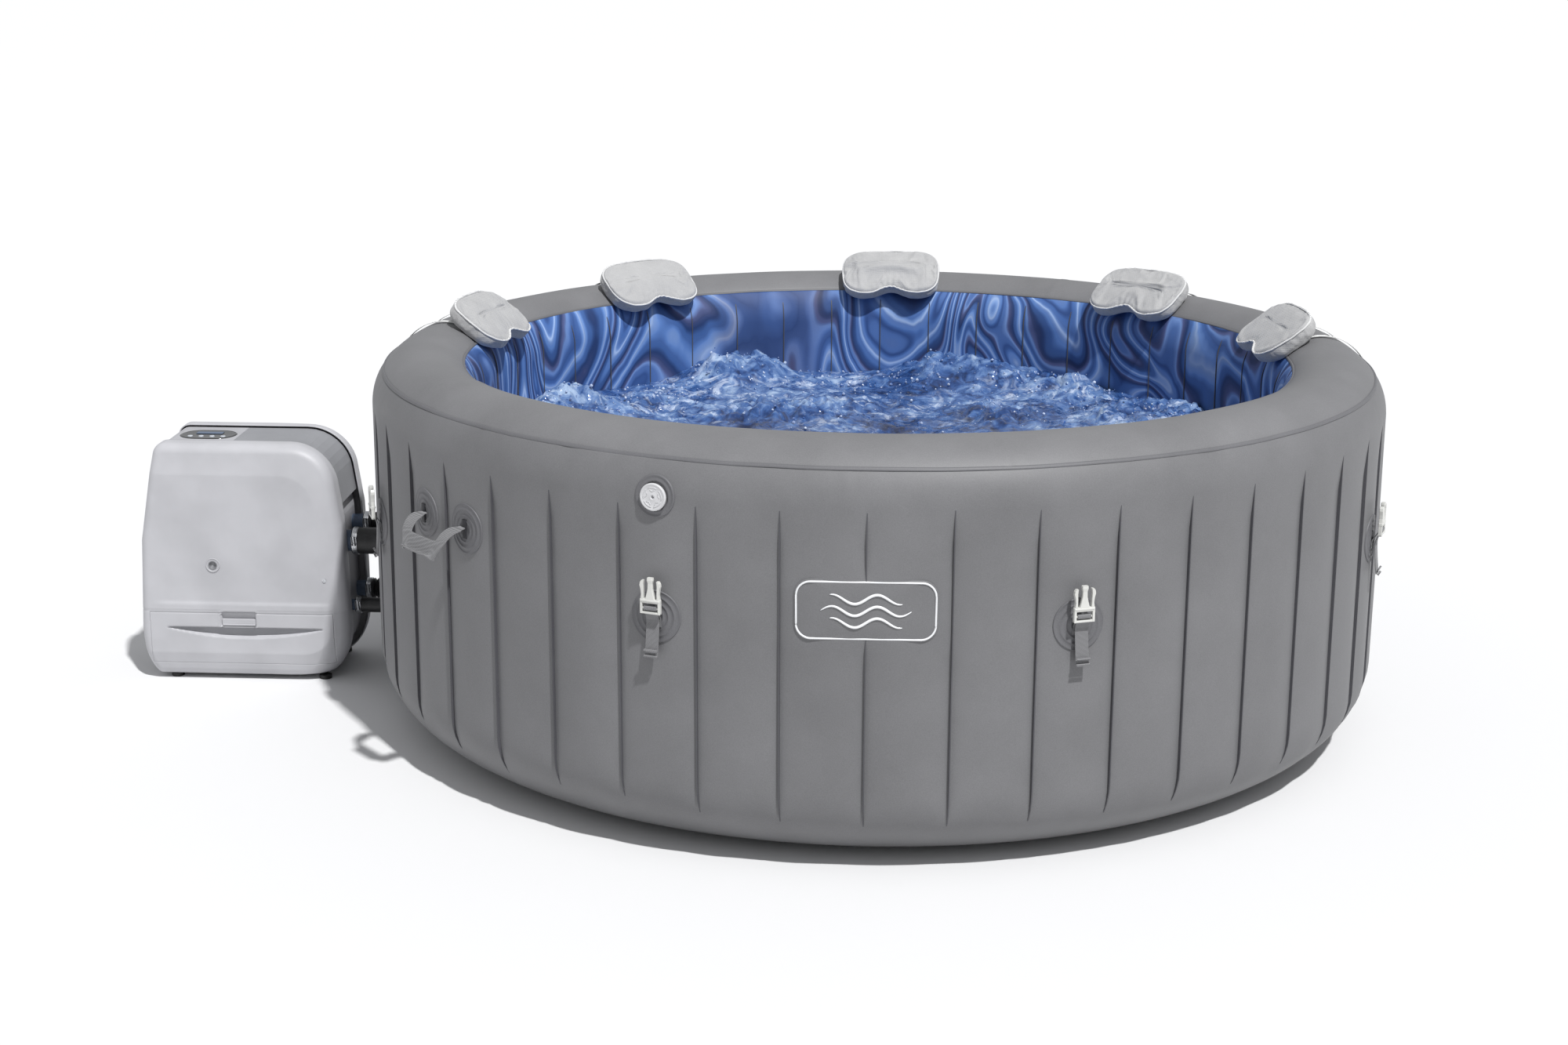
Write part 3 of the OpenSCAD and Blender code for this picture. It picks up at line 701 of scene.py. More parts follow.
def make_weld_seams():
    """A narrow flat welt along each edge of the rim band."""
    shape = Shape()
    for a, half in ((OUTER_SEAM, 0.034), (INNER_SEAM, 0.026)):
        section = []
        for i in range(9):
            b = a - half + 2 * half * i / 8
            r = RIM_R - 0.0004 + 0.0012 * math.sin(math.pi * i / 8) ** 0.5
            section.append((RIM_C + r * math.cos(b), RIM_Z + r * math.sin(b)))
        section += arc(RIM_C, RIM_Z, RIM_R - 0.004, RIM_R - 0.004, a + half, a - half, 3)
        rows = []
        for i in range(COLUMNS // 2):
            theta = FRONT + 4 * math.pi * i / COLUMNS
            wobble = 0.0012 * ring_noise(theta, 9, a)
            rows.append([(r * math.cos(theta), r * math.sin(theta), z + wobble) for r, z in section])
        shape.grid(rows, close_u=True, close_v=True)
    shape.piece("rim_weld_seams", "tub", "rim_laminate", "seam", "weld_seams")


def liner_depth(theta, z):
    fade = smooth(z, 0.07, 0.14) * (1 - smooth(z, 0.72, 0.765))
    dent = (1 - panel_shape(theta)) * LINER_BULGE * fade
    return dent + 0.0012 * (ring_noise(theta, 6, z * 5) + 0.5)


def liner_radius(theta, z):
    return WALL_IN + liner_depth(theta, z)


def make_liner():
    top = arc(RIM_C, RIM_Z, RIM_R, RIM_R, INNER_SEAM, math.pi, 14)
    down = [(WALL_IN, RIM_Z - (RIM_Z - 0.074) * i / 14) for i in range(1, 14)]
    corner = arc(
        WALL_IN - LINER_CORNER, FLOOR_Z + LINER_CORNER, LINER_CORNER, LINER_CORNER, 0, -math.pi / 2, 8
    )
    back = [(0.800, FLOOR_Z - 0.004), (WALL_IN + 0.02, 0.06), (WALL_IN + 0.02, 0.68), (RIM_C - 0.07, 0.755)]

    def place(theta, j, r, z):
        if j >= len(top) + len(down):
            return r, z
        return r + liner_depth(theta, z), z

    shape = revolve(top + down + corner + back, place, PANELS * 16)
    shape.piece("tub_liner", "tub", "liner_print", "liner", "inner_liner")


# ---------- Water ----------


def dome(x, y, cell, seed):
    """Height of round bubbles packed in cells of a given width, from 0 to 1."""
    gap = noise.voronoi(Vector((x / cell, y / cell, seed)))[0][0]
    return math.sqrt(max(0.0, 1 - (gap * 1.45) ** 2))


def water_height(x, y):
    """Boiling surface: slow swell, mounds over the jets, wavelets and clusters of bubbles."""
    r = math.hypot(x, y)
    theta = math.atan2(y, x)
    ring = math.exp(-(((r - 0.75) / 0.085) ** 2))
    heap = smooth(ring_noise(theta, 3.1, 0.4), -0.25, 0.45)
    crest = 1 - abs(noise.noise(Vector((x * 7, y * 7, 0.2)))) * 2.4
    small = 1 - abs(noise.noise(Vector((x * 17, y * 17, 3.1)))) * 2.4
    swell = 0.020 * noise.noise(Vector((x * 2.4, y * 2.4, 1.7))) + 0.040 * ring * heap
    foam = smooth(noise.noise(Vector((x * 4.2, y * 4.2, 8.0))) + 0.55 * ring * heap, -0.12, 0.40)
    wavelets = (0.012 * crest + 0.009 * small) * (0.65 + 0.35 * foam)
    bubbles = foam * (0.012 * dome(x, y, 0.052, 2.0) + 0.011 * dome(x, y, 0.024, 6.0))
    fine = (0.35 + 0.65 * foam) * 0.004 * dome(x, y, 0.012, 9.0)
    return WATER_Z - 0.016 + swell + wavelets + bubbles + fine


def make_water():
    rings, spokes = ((170, 840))
    shape = Shape()
    rows = []
    for i in range(rings):
        f = 1.0 if i == rings - 1 else 0.004 + 0.996 * ((i + 0.5) / rings) ** 0.62
        row = []
        for k in range(spokes):
            theta = 2 * math.pi * k / spokes
            r = f * (liner_radius(theta, WATER_Z) + 0.0005)
            x, y = r * math.cos(theta), r * math.sin(theta)
            row.append((x, y, water_height(x, y)))
        rows.append(row)
    rows.append([(p[0], p[1], 0.50) for p in rows[-1]])
    rows.append([(p[0] * 0.5, p[1] * 0.5, 0.50) for p in rows[-1]])
    shape.loft(rows)
    shape.piece("water_surface", "tub", "liner_print", "water")


def make_droplets():
    """Beads and spray that stand on the crests."""
    bm = bmesh.new()
    bmesh.ops.create_icosphere(bm, subdivisions=1, radius=1.0)
    ball = [v.co.copy() for v in bm.verts]
    faces = [[v.index for v in f.verts] for f in bm.faces]
    bm.free()
    rng = random.Random(7)
    shape = Shape()
    for _ in range(2200):
        near_wall = rng.random() < 0.65
        r = rng.uniform(0.62, 0.835) if near_wall else 0.83 * math.sqrt(rng.random())
        theta = rng.uniform(0, 2 * math.pi)
        x, y = r * math.cos(theta), r * math.sin(theta)
        size = 0.0014 + 0.0034 * rng.random() ** 3
        z = water_height(x, y) + size * rng.uniform(-0.2, 0.7) + 0.014 * rng.random() ** 10
        shape.add([(x + v.x * size, y + v.y * size, z + v.z * size) for v in ball], faces)
    shape.piece("water_beads", "tub", "liner_print", "bead")


def bead_look():
    """Drops: bright and dark ones side by side."""
    mat, tree, bsdf = material(
        "bead_look", srgb(150, 176, 214), 0.05, IOR=1.33, Coat_Weight=1.0, Coat_Roughness=0.02
    )
    tone = noise_of(tree, coords(tree), 60.0, 2.0)
    colors = ramp_of(tree, tone, [(0.4, srgb(60, 96, 160)), (0.66, srgb(206, 218, 238))])
    tree.links.new(colors, bsdf.inputs["Base Color"])
    return mat


MATS["bead"] = bead_look()


make_outer_wall()
make_rim()
make_weld_seams()
make_liner()
make_water()
make_droplets()


# ---------- Fittings that lie on the wall ----------


def on_wall(a, y, z, lift):
    """A point lift above the wall's surface, y along the wall from angle a."""
    theta = a + y / TUB_R
    r = wall_radius(theta, z) + lift
    return (r * math.cos(theta), r * math.sin(theta), z)


def wall_disc(shape, a, z0, profile, spokes=64):
    """A round relief on the wall from (radius, lift) points, outermost last."""
    rows = []
    for r, lift in profile:
        row = []
        for k in range(spokes):
            b = 2 * math.pi * k / spokes
            row.append(on_wall(a, r * math.cos(b), z0 + r * math.sin(b), lift))
        rows.append(row)
    shape.loft(rows)


def patch_profile():
    """Concentric steps of a welded patch."""
    points = [(0.0005, 0.0022)]
    for r in (0.016, 0.026, 0.037):
        points += [(r - 0.0012, 0.0022), (r, 0.0034), (r + 0.0012, 0.0019)]
    points += [(0.0465, 0.0017), (0.0480, 0.0026), (PATCH_R, 0.0012), (PATCH_R + 0.0006, -0.0035)]
    return points


def make_patches():
    shape = Shape()
    for a in BUCKLE_A:
        wall_disc(shape, a, BUCKLE_Z - 0.020, patch_profile())
    # The dark blocks at the handle patches are painted shade: they stand in for the shaded openings where the
    # webbing goes into the patches.
    slots = Shape()
    for a in HANDLE_A:
        for side in (-1, 1):
            b = a + side * HANDLE_SPREAD
            wall_disc(shape, b, HANDLE_Z, patch_profile())
            start = len(slots.verts)
            slots.block((0.0008, -0.006, -0.019), (0.0042, 0.006, 0.019), 0.0015)
            slots.move(start, lambda x, y, z, b=b: on_wall(b, y, HANDLE_Z + z, x + 0.001))
    shape.piece("reinforcing_patches", "tub", "wall_laminate", "seam", "weld_patches")
    slots.piece("handle_slot_shades", "tub", "seal_rubber", "dark")


def rounded_loop(w, h, corner, n=8):
    """Points of a rounded rectangle centred on the origin."""
    points = []
    for cx, cy, a0 in ((1, 1, 0), (-1, 1, 90), (-1, -1, 180), (1, -1, 270)):
        for i in range(n + 1):
            a = math.radians(a0 + 90 * i / n)
            points.append(
                (cx * (w / 2 - corner) + corner * math.cos(a), cy * (h / 2 - corner) + corner * math.sin(a))
            )
    return points


def make_badge():
    """A rounded plate with a raised border and three waves."""
    low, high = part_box("badge")
    w, h = high.x - low.x, high.z - low.z
    plate = Shape()
    rows = []
    steps = [(1.0, -0.004), (1.0, 0.0012)] + [(0.995 - 0.09 * k, 0.0018) for k in range(11)]
    for shrink, lift in steps:
        loop = rounded_loop(w * shrink, h * shrink, 0.030 * shrink, 12)
        rows.append([on_wall(FRONT, x, BADGE_Z + y, lift) for x, y in loop])
    plate.loft(rows)
    plate.piece("badge_plate", "tub", "badge", "wall", "badge")
    lines = Shape()
    border = [
        on_wall(FRONT, x, BADGE_Z + y, 0.0022) for x, y in rounded_loop(w - 0.009, h - 0.009, 0.026, 12)
    ]
    lines.tube(border, 0.0019, 8, closed=True)
    for k in (-1, 0, 1):
        path = []
        half = 0.080 - 0.016 * abs(k)
        for i in range(49):
            s = -half + 2 * half * i / 48
            swing = 0.0085 * math.sin(s / 0.040 * math.pi)
            path.append(on_wall(FRONT, s, BADGE_Z + 0.0215 * k + swing, 0.0022))
        lines.tube(path, [0.0006 + 0.0021 * math.sin(math.pi * i / 48) ** 0.5 for i in range(49)], 8)
    lines.piece("badge_lines", "tub", "badge", "badge")


def make_valve():
    seat = Shape()
    profile = [
        (0.0250, -0.002), (0.0258, 0.0012), (0.0275, 0.0032), (0.0300, 0.0020), (0.0345, 0.0016),
        (0.0365, 0.0034), (0.0385, 0.0018), (0.0392, -0.003),
    ]
    wall_disc(seat, VALVE_A, VALVE_Z, profile)
    seat.piece("valve_seat", "tub", "fitting_plastic", "seam", "valve_body")
    cap = Shape()
    axis = Vector(around(VALVE_A, 1, 0, 0))
    origin = Vector(around(VALVE_A, TUB_R, 0, VALVE_Z))
    cap.lathe(
        [
            (-0.004, 0.020), (0.003, 0.0245), (0.0075, 0.0255), (0.0092, 0.0248), (0.0100, 0.0235),
            (0.0092, 0.0222), (0.0092, 0.0060), (0.0096, 0.0050), (0.0092, 0.0032), (0.0040, 0.0026),
            (0.0040, 0),
        ],
        origin, axis, 64,
    )
    for k in range(5):
        mid = math.radians(72 * k + 18)
        path = []
        for i in range(13):
            b = mid - 0.50 + 1.0 * i / 12
            path.append(around(VALVE_A, TUB_R + 0.0094, 0.0178 * math.cos(b), VALVE_Z + 0.0178 * math.sin(b)))
        cap.tube(path, 0.0008, 6)
        inner = []
        for i in range(9):
            b = mid - 0.36 + 0.72 * i / 8
            bow = 0.0145 - 0.0035 * math.sin(math.pi * i / 8)
            inner.append(around(VALVE_A, TUB_R + 0.0094, bow * math.cos(b), VALVE_Z + bow * math.sin(b)))
        cap.tube(inner, 0.0007, 6)
    cap.piece("valve_screw_cap", "valve_cap", "fitting_plastic", "valve", "valve_cap")


def ribbon(shape, path, width_dir, width, thick):
    """A flat strap along a path; width_dir is the direction across it."""
    across = Vector(width_dir).normalized()
    path = [Vector(p) for p in path]
    rows = []
    for i, p in enumerate(path):
        t = (path[min(i + 1, len(path) - 1)] - path[max(i - 1, 0)]).normalized()
        up = across.cross(t).normalized()
        h, e = width / 2, thick / 2
        rows.append(
            [
                p - across * h, p - across * h * 0.96 + up * e, p + across * h * 0.96 + up * e,
                p + across * h, p + across * h * 0.96 - up * e, p - across * h * 0.96 - up * e,
            ]
        )
    shape.loft(rows)


def make_buckle_straps():
    shape = Shape()
    for n, a in enumerate(BUCKLE_A):
        rng = random.Random(40 + n)
        across = around(a, 0, 1, 0)
        face = wall_radius(a, 0.45)
        root = [
            (face + 0.003, 0.452), (face + 0.004, 0.468),
            (BUCKLE_X - 0.006, 0.4835), (BUCKLE_X - 0.0015, 0.4863),
        ]
        ribbon(shape, [around(a, x, 0, z) for x, z in root], across, 0.026, 0.0018)
        lean = rng.uniform(-0.002, 0.004)
        tail = []
        for i in range(15):
            s = i / 14
            x = BUCKLE_X - 0.0005 - 0.010 * smooth(s, 0.0, 0.35) + 0.006 * s * s + lean * s
            tail.append((x, BUCKLE_Z + 0.0035 - 0.094 * s))
        drift = rng.uniform(-0.003, 0.003)
        ribbon(
            shape, [around(a, x, drift * i / 14, z) for i, (x, z) in enumerate(tail)], across, 0.026, 0.0018
        )
        x, z = tail[-1]
        for k in (0, 1):
            fold = [(x + 0.003 - 0.001 * k, z + 0.012 - 0.011 * k), (x + 0.006, z + 0.010 - 0.011 * k)]
            ribbon(shape, [around(a, fx, drift, fz) for fx, fz in fold], across, 0.027, 0.0026)
        loop = []
        for i in range(15):
            b = math.radians(-120 + 290 * i / 14)
            loop.append(around(a, BUCKLE_X + 0.0036 * math.cos(b), 0, BUCKLE_Z + 0.0036 * math.sin(b)))
        ribbon(shape, loop, across, 0.026, 0.0016)
    shape.piece("buckle_webbing", "tub", "webbing", "webbing", "buckle_straps", shade=False)


def make_buckle(index, a):
    """The prong half of a side-release buckle: a slotted frame, a guide tongue and two sprung arms."""
    s = Shape()
    s.tube([(0, -0.0185, 0), (0, 0.0185, 0)], 0.0022, 12)
    s.block((-0.0035, -0.0200, -0.0105), (0.0035, 0.0200, -0.0062), 0.0012)
    for side in (-1, 1):
        y0, y1 = sorted((side * 0.0200, side * 0.0152))
        s.block((-0.0040, y0, -0.0105), (0.0040, y1, 0.0130), 0.0012)
    s.block((-0.0042, -0.0200, 0.0095), (0.0042, 0.0200, 0.0175), 0.0014)
    s.block((-0.0052, -0.0190, 0.0125), (0.0052, 0.0190, 0.0160), 0.0012)
    tongue = []
    for z, half, thick in (
        (0.016, 0.0100, 0.0042), (0.026, 0.0072, 0.0036), (0.036, 0.0050, 0.0033),
        (0.046, 0.0046, 0.0034), (0.0520, 0.0060, 0.0044), (0.0565, 0.0056, 0.0040),
    ):
        loop = rounded_loop(2 * half, 2 * thick, min(half, thick) * 0.5, 3)
        tongue.append([(x2, y2, z) for y2, x2 in loop])
    s.loft(tongue)
    for side in (-1, 1):
        arm = []
        for z, y, half in (
            (0.016, 0.0160, 0.0030), (0.026, 0.0155, 0.0022), (0.034, 0.0160, 0.0026),
            (0.042, 0.0172, 0.0034), (0.0475, 0.0165, 0.0032), (0.0510, 0.0150, 0.0022),
        ):
            loop = rounded_loop(2 * half, 0.0078, 0.0012, 3)
            arm.append([(x2, side * y + y2, z) for y2, x2 in loop])
        s.loft(arm)
    s.move(0, lambda x, y, z: around(a, BUCKLE_X + x, y, BUCKLE_Z + z))
    name = f"buckle_{index + 1}"
    s.piece(f"{name}_prongs", name, "buckle_plastic", "buckle", name, shade=False)


def make_handle(name, a):
    """A drooping loop of webbing: two tongues out of the wall slots, joined by a grip folded lengthwise."""
    cell = 0.0030
    reach, half_w, strap = 0.094, 0.092, 0.038
    rows, cols = int(reach / cell), int(2 * half_w / cell)

    def place(s, y):
        x, z, step = 0.0, 0.0, s / 12
        for i in range(12):
            slope = math.radians(2 + 66 * smooth((i + 0.5) * step, 0.0, 0.070))
            x += step * math.cos(slope)
            z -= step * math.sin(slope)
        q = (s - (reach - strap)) / strap
        fold = (1 - abs(2 * q - 1)) if 0 < q < 1 else 0.0
        middle = 1 - smooth(abs(y), 0.044, 0.068)
        pull = 1 - 0.20 * smooth(s, 0.0, reach)
        x += middle * 0.016 * max(0.0, q)
        z += middle * (0.020 * max(0.0, q) ** 2 - 0.014 * fold)
        sag = 0.005 * math.cos(min(1.0, abs(y) / half_w) * math.pi / 2) * smooth(s, 0.02, reach)
        return x, y * pull, z - sag

    verts, faces, index = [], [], {}

    def vert(i, j):
        if (i, j) not in index:
            index[(i, j)] = len(verts)
            x, y, z = place(i * reach / rows, -half_w + 2 * half_w * j / cols)
            verts.append(around(a, TUB_R - 0.002 + x, y, HANDLE_Z + 0.002 + z))
        return index[(i, j)]

    for i in range(rows):
        for j in range(cols):
            s, y = (i + 0.5) * reach / rows, abs(-half_w + 2 * half_w * (j + 0.5) / cols)
            narrow = 0.009 * (1 - smooth(s, 0.0, 0.022))
            outer = half_w - 0.016 * smooth(s, 0.04, reach) ** 2 - narrow
            tongue = half_w - strap + narrow < y < outer
            grip = s > reach - strap and y < outer
            if tongue or grip:
                faces.append((vert(i, j), vert(i, j + 1), vert(i + 1, j + 1), vert(i + 1, j)))
    obj = make(f"{name}_webbing", verts, faces, name, MATS["handle"])
    mod = obj.modifiers.new("relax", "SMOOTH")
    mod.factor = 0.5
    mod.iterations = 3
    apply_modifiers(obj)
    thicken(obj, 0.0026, 0.0)
    subdivide(obj, 1)
    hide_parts(name)


make_patches()
make_badge()
make_valve()
make_buckle_straps()
for number, angle in enumerate(BUCKLE_A):
    make_buckle(number, angle)
for handle_name, angle in zip(("handle_left", "handle_right"), HANDLE_A):
    make_handle(handle_name, angle)


# ---------- Pillows ----------

PILLOW_W = 0.240
PILLOW_D = 0.150
PILLOW_T = 0.046
PILLOW_TILT = math.radians(36)
PILLOW_GAP = 0.006
SEAM_LIFT = 0.009


def pillow_outline(b):
    """Edge of the pillow at angle b: a rounded oblong with a bay in its inner long side (at -x)."""
    c, s = math.cos(b), math.sin(b)
    n = 3.6
    r = 1.0 / (abs(c / (PILLOW_D / 2)) ** n + abs(s / (PILLOW_W / 2)) ** n) ** (1 / n)
    x, y = r * c, r * s
    if c < 0:
        x += 0.025 * math.exp(-((y / 0.040) ** 2))
        y *= 1 + 0.10 * x / PILLOW_D
    return x, y


def blank_pillow(name):
    """A domed top, a piped seam, a gusset and a flatter underside, in rings round a short spine."""
    spokes = 168
    rings = []
    for i in range(12):
        f = 0.10 + 0.90 * (i / 11) ** 0.8
        rings.append((f, SEAM_LIFT + 0.014 * math.sqrt(max(0.0, 1 - ((f - 0.10) / 0.90) ** 3.2))))
    seam_ring = len(rings) - 1
    rings += [(1.012, 0.003), (1.014, -0.004), (1.005, -0.011)]
    low_ring = len(rings)
    rings.append((0.975, -0.0165))
    for i in range(9, -1, -1):
        f = 0.10 + 0.86 * (i / 10)
        rings.append((f, -0.0165 - 0.0065 * math.sqrt(max(0.0, 1 - ((f - 0.10) / 0.88) ** 3))))
    rows = []
    for f, z in rings:
        row = []
        for k in range(spokes):
            b = 2 * math.pi * k / spokes
            x, y = pillow_outline(b)
            sx, sy = 0.012, 0.62 * y
            row.append((sx + (x - sx) * f, sy + (y - sy) * f, z))
        rows.append(row)
    shape = Shape()
    shape.loft(rows)
    mesh = bpy.data.meshes.new(name)
    mesh.from_pydata(shape.verts, [], shape.faces)
    mesh.update()
    obj = bpy.data.objects.new(name, mesh)
    bpy.context.scene.collection.objects.link(obj)
    pins = obj.vertex_groups.new(name="seams")
    pins.add([seam_ring * spokes + k for k in range(spokes)], 1.0, "REPLACE")
    pins.add([low_ring * spokes + k for k in range(spokes)], 1.0, "REPLACE")
    return obj, seam_ring * spokes, spokes


def blow_up(obj, cap, seed):
    """Settles the cover as slack cloth under pressure, held at its seams, and limits each point's travel."""
    rest = [v.co.copy() for v in obj.data.vertices]
    rng = random.Random(seed)
    shift = Vector((rng.random() * 9, rng.random() * 9, 0))
    for v in obj.data.vertices:
        v.co.z += 0.0015 * noise.noise(v.co * 40 + shift)
    mod = obj.modifiers.new("cloth", "CLOTH")
    cloth = mod.settings
    cloth.quality = 4
    cloth.mass = 0.2
    cloth.tension_stiffness = 14
    cloth.compression_stiffness = 14
    cloth.shear_stiffness = 5
    cloth.bending_stiffness = 0.15
    cloth.shrink_min = -0.045
    cloth.use_pressure = True
    cloth.uniform_pressure_force = 1.6
    cloth.vertex_group_mass = "seams"
    cloth.effector_weights.gravity = 0.0
    mod.collision_settings.use_collision = False
    scene = bpy.context.scene
    for step in range(1, 19):
        scene.frame_set(step)
    apply_modifiers(obj)
    scene.frame_set(1)
    for v, was in zip(obj.data.vertices, rest):
        move = v.co - was
        if move.length > cap:
            v.co = was + move * (cap / move.length)


def seat_pillow(a, x, y, z):
    """From the pillow's own frame to its place on the rim, drooping a little at its ends."""
    mid = RIM_R + PILLOW_GAP + PILLOW_T / 2
    up = math.pi / 2 + PILLOW_TILT
    z -= 0.22 * y * y
    rx = x * math.cos(PILLOW_TILT) - z * math.sin(PILLOW_TILT)
    rz = x * math.sin(PILLOW_TILT) + z * math.cos(PILLOW_TILT)
    return Vector(around(a, RIM_C + mid * math.cos(up) + rx, y, RIM_Z + mid * math.sin(up) + rz))


def make_pillow(index, a):
    name = f"pillow_{index + 1}"
    obj, seam_start, spokes = blank_pillow(f"{name}_cushion")
    blow_up(obj, 0.007, 100 + index)
    rng = random.Random(60 + index)
    shift = Vector((rng.random() * 9, rng.random() * 9, 3))
    turn = rng.uniform(-0.03, 0.03)
    seam = []
    for v in obj.data.vertices:
        x, y, z = v.co
        z = max(z, -PILLOW_T / 2)
        near = math.exp(-(((x + 0.046) / 0.020) ** 2 + (y / 0.036) ** 2))
        fan = math.sin(30 * math.atan2(y, x + 0.11))
        crease = noise.noise(Vector((x * 70, y * 70, z * 40)) + shift)
        z += 0.0012 * near * fan * (1 if z > 0 else 0) + 0.0010 * crease
        if -0.014 < z < 0.006:
            sag = 1 + 0.020 * noise.noise(Vector((x * 60, y * 60, z * 200)) + shift)
            x, y = x * sag, y * sag
        v.co = (x * math.cos(turn) - y * math.sin(turn), x * math.sin(turn) + y * math.cos(turn), z)
    for k in range(spokes):
        seam.append(obj.data.vertices[seam_start + k].co.copy())
    for v in obj.data.vertices:
        v.co = seat_pillow(a, *v.co)
    mesh = obj.data
    bm = bmesh.new()
    bm.from_mesh(mesh)
    bmesh.ops.recalc_face_normals(bm, faces=bm.faces)
    bm.to_mesh(mesh)
    bm.free()
    mesh.materials.append(MATS["pillow"])
    mesh.polygons.foreach_set("use_smooth", [True] * len(mesh.polygons))
    subdivide(obj, 1)
    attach(obj, name)
    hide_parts(name)
    edge = Shape()
    edge.tube([seat_pillow(a, *p) for p in seam], 0.0026, 8, closed=True, flat=0.8)
    edge.piece(f"{name}_piping", name, "pillow_fabric", "piping")
    straps = Shape()
    for side in (-1, 1):
        y = side * 0.066
        rim_arc = arc(RIM_C, RIM_Z, RIM_R + 0.0026, RIM_R + 0.0026, math.radians(104), 0, 26)
        root = (RIM_C + 0.120 * math.cos(1.98), RIM_Z + 0.120 * math.sin(1.98))
        path = [root] + rim_arc + [(TUB_R + 0.0026, RIM_Z - 0.04)]
        ribbon(straps, [around(a, r, y, z) for r, z in path], around(a, 0, 1, 0), 0.012, 0.0014)
    straps.piece(f"{name}_straps", name, "pillow_fabric", "strap", shade=False)


for number, angle in enumerate(PILLOW_A):
    make_pillow(number, angle)


# ---------- Pump unit ----------

PUMP_Z0 = 0.008
PUMP_TOP = 0.545
PUMP_Y0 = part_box("pump_front_shell")[0].y
PUMP_Y1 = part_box("pump_rear_shell")[1].y
CORE_Y0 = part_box("pump_core")[0].y
CORE_Y1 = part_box("pump_core")[1].y
SEAM_Z = 0.164
HATCH_LOW, HATCH_HIGH = 0.040, 0.162
HATCH_X0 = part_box("service_hatch")[0].x + 0.006
HATCH_X1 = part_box("service_hatch")[1].x - 0.006
LATCH_X = -1.422
LATCH_Z = 0.1455
SCREW_X, SCREW_Z = -1.474, 0.272


def pump_outline(d=0.0):
    """The unit's outline in x and z, anticlockwise, d inside its surface."""
    return (
        arc(-1.609, 0.124, 0.037 - d, 0.124 - PUMP_Z0 - d, math.pi, 1.5 * math.pi, 10)
        + arc(-1.250, 0.122, 0.074 - d, 0.122 - PUMP_Z0 - d, 1.5 * math.pi, 2 * math.pi, 14)
        + [(-1.183 - d, 0.363)]
        + arc(-1.300, PUMP_TOP - 0.105, 0.105 - d, 0.105 - d, math.radians(5), math.pi / 2, 14)
        + arc(-1.575, PUMP_TOP - 0.027, 0.027 - d, 0.027 - d, math.pi / 2, math.radians(165), 6)
        + [(-1.636 + d, 0.325)]
    )


def outline_span(z):
    """Left and right x of the outline at a height."""
    loop = pump_outline()
    hits = []
    for (x0, z0), (x1, z1) in zip(loop, loop[1:] + loop[:1]):
        if (z0 - z) * (z1 - z) <= 0 and z0 != z1:
            hits.append(x0 + (x1 - x0) * (z - z0) / (z1 - z0))
    return min(hits), max(hits)


def edge_distance(points):
    """Distance of each point from the outline, for an array of (x, z)."""
    loop = np.array(pump_outline())
    ahead = np.roll(loop, -1, axis=0)
    best = np.full(len(points), 9.0)
    for p, q in zip(loop, ahead):
        d = q - p
        t = np.clip(((points - p) @ d) / (d @ d), 0, 1)
        near = p + t[:, None] * d
        best = np.minimum(best, np.hypot(*(points - near).T))
    return best


def outside_corner(a, b, radius):
    """Signed distance past two straight edges that meet in a rounded corner; a and b grow inward."""
    p, q = radius - a, radius - b
    return math.hypot(max(p, 0.0), max(q, 0.0)) - radius + min(max(p, q), 0.0)


def soft(q, width):
    return (math.sqrt(q * q + width * width) + q) / 2


def cheek_depth(x, z, edge, right, front):
    """How far behind its foremost plane the cheek's face lies."""
    round_r = 0.020
    d = 0.0
    if edge < round_r:
        d += round_r - math.sqrt(round_r**2 - (round_r - edge) ** 2)
    d += 0.20 * soft(outside_corner(right - x - 0.052, PUMP_TOP - z - 0.066, 0.060), 0.0015)
    d += 0.26 * soft(outside_corner(right - x - 0.040, z - 0.066, 0.050), 0.0015) * smooth(z, 0.24, 0.12)
    d += 0.0016 * (1 - smooth(abs(z - SEAM_Z), 0.0004, 0.0016))
    if not front:
        return d
    lip = smooth(x, -1.62, -1.58) * (1 - smooth(x, -1.24, -1.20))
    d += 0.0030 * lip * smooth(z, 0.1815, 0.1850) * (1 - smooth(z, 0.20, 0.30))
    t = (x + 1.409) / 0.188
    if abs(t) < 1:
        top, low = 0.1275, 0.1275 - 0.0255 * (1 - t * t)
        if low < z < top:
            f = (z - low) / max(1e-6, top - low)
            d += 0.026 * (1 - t * t) ** 0.7 * f**0.5
    lx, lz = abs(x - LATCH_X), abs(z - LATCH_Z)
    ring = outside_corner(0.0455 - lx, 0.0225 - lz, 0.008)
    d -= 0.0018 * smooth(-ring, 0.0, 0.003)
    pocket = outside_corner(0.0400 - lx, 0.0160 - lz, 0.003)
    if pocket < 0:
        d += 0.0105 * smooth(-pocket, 0.0, 0.0012)
    return d


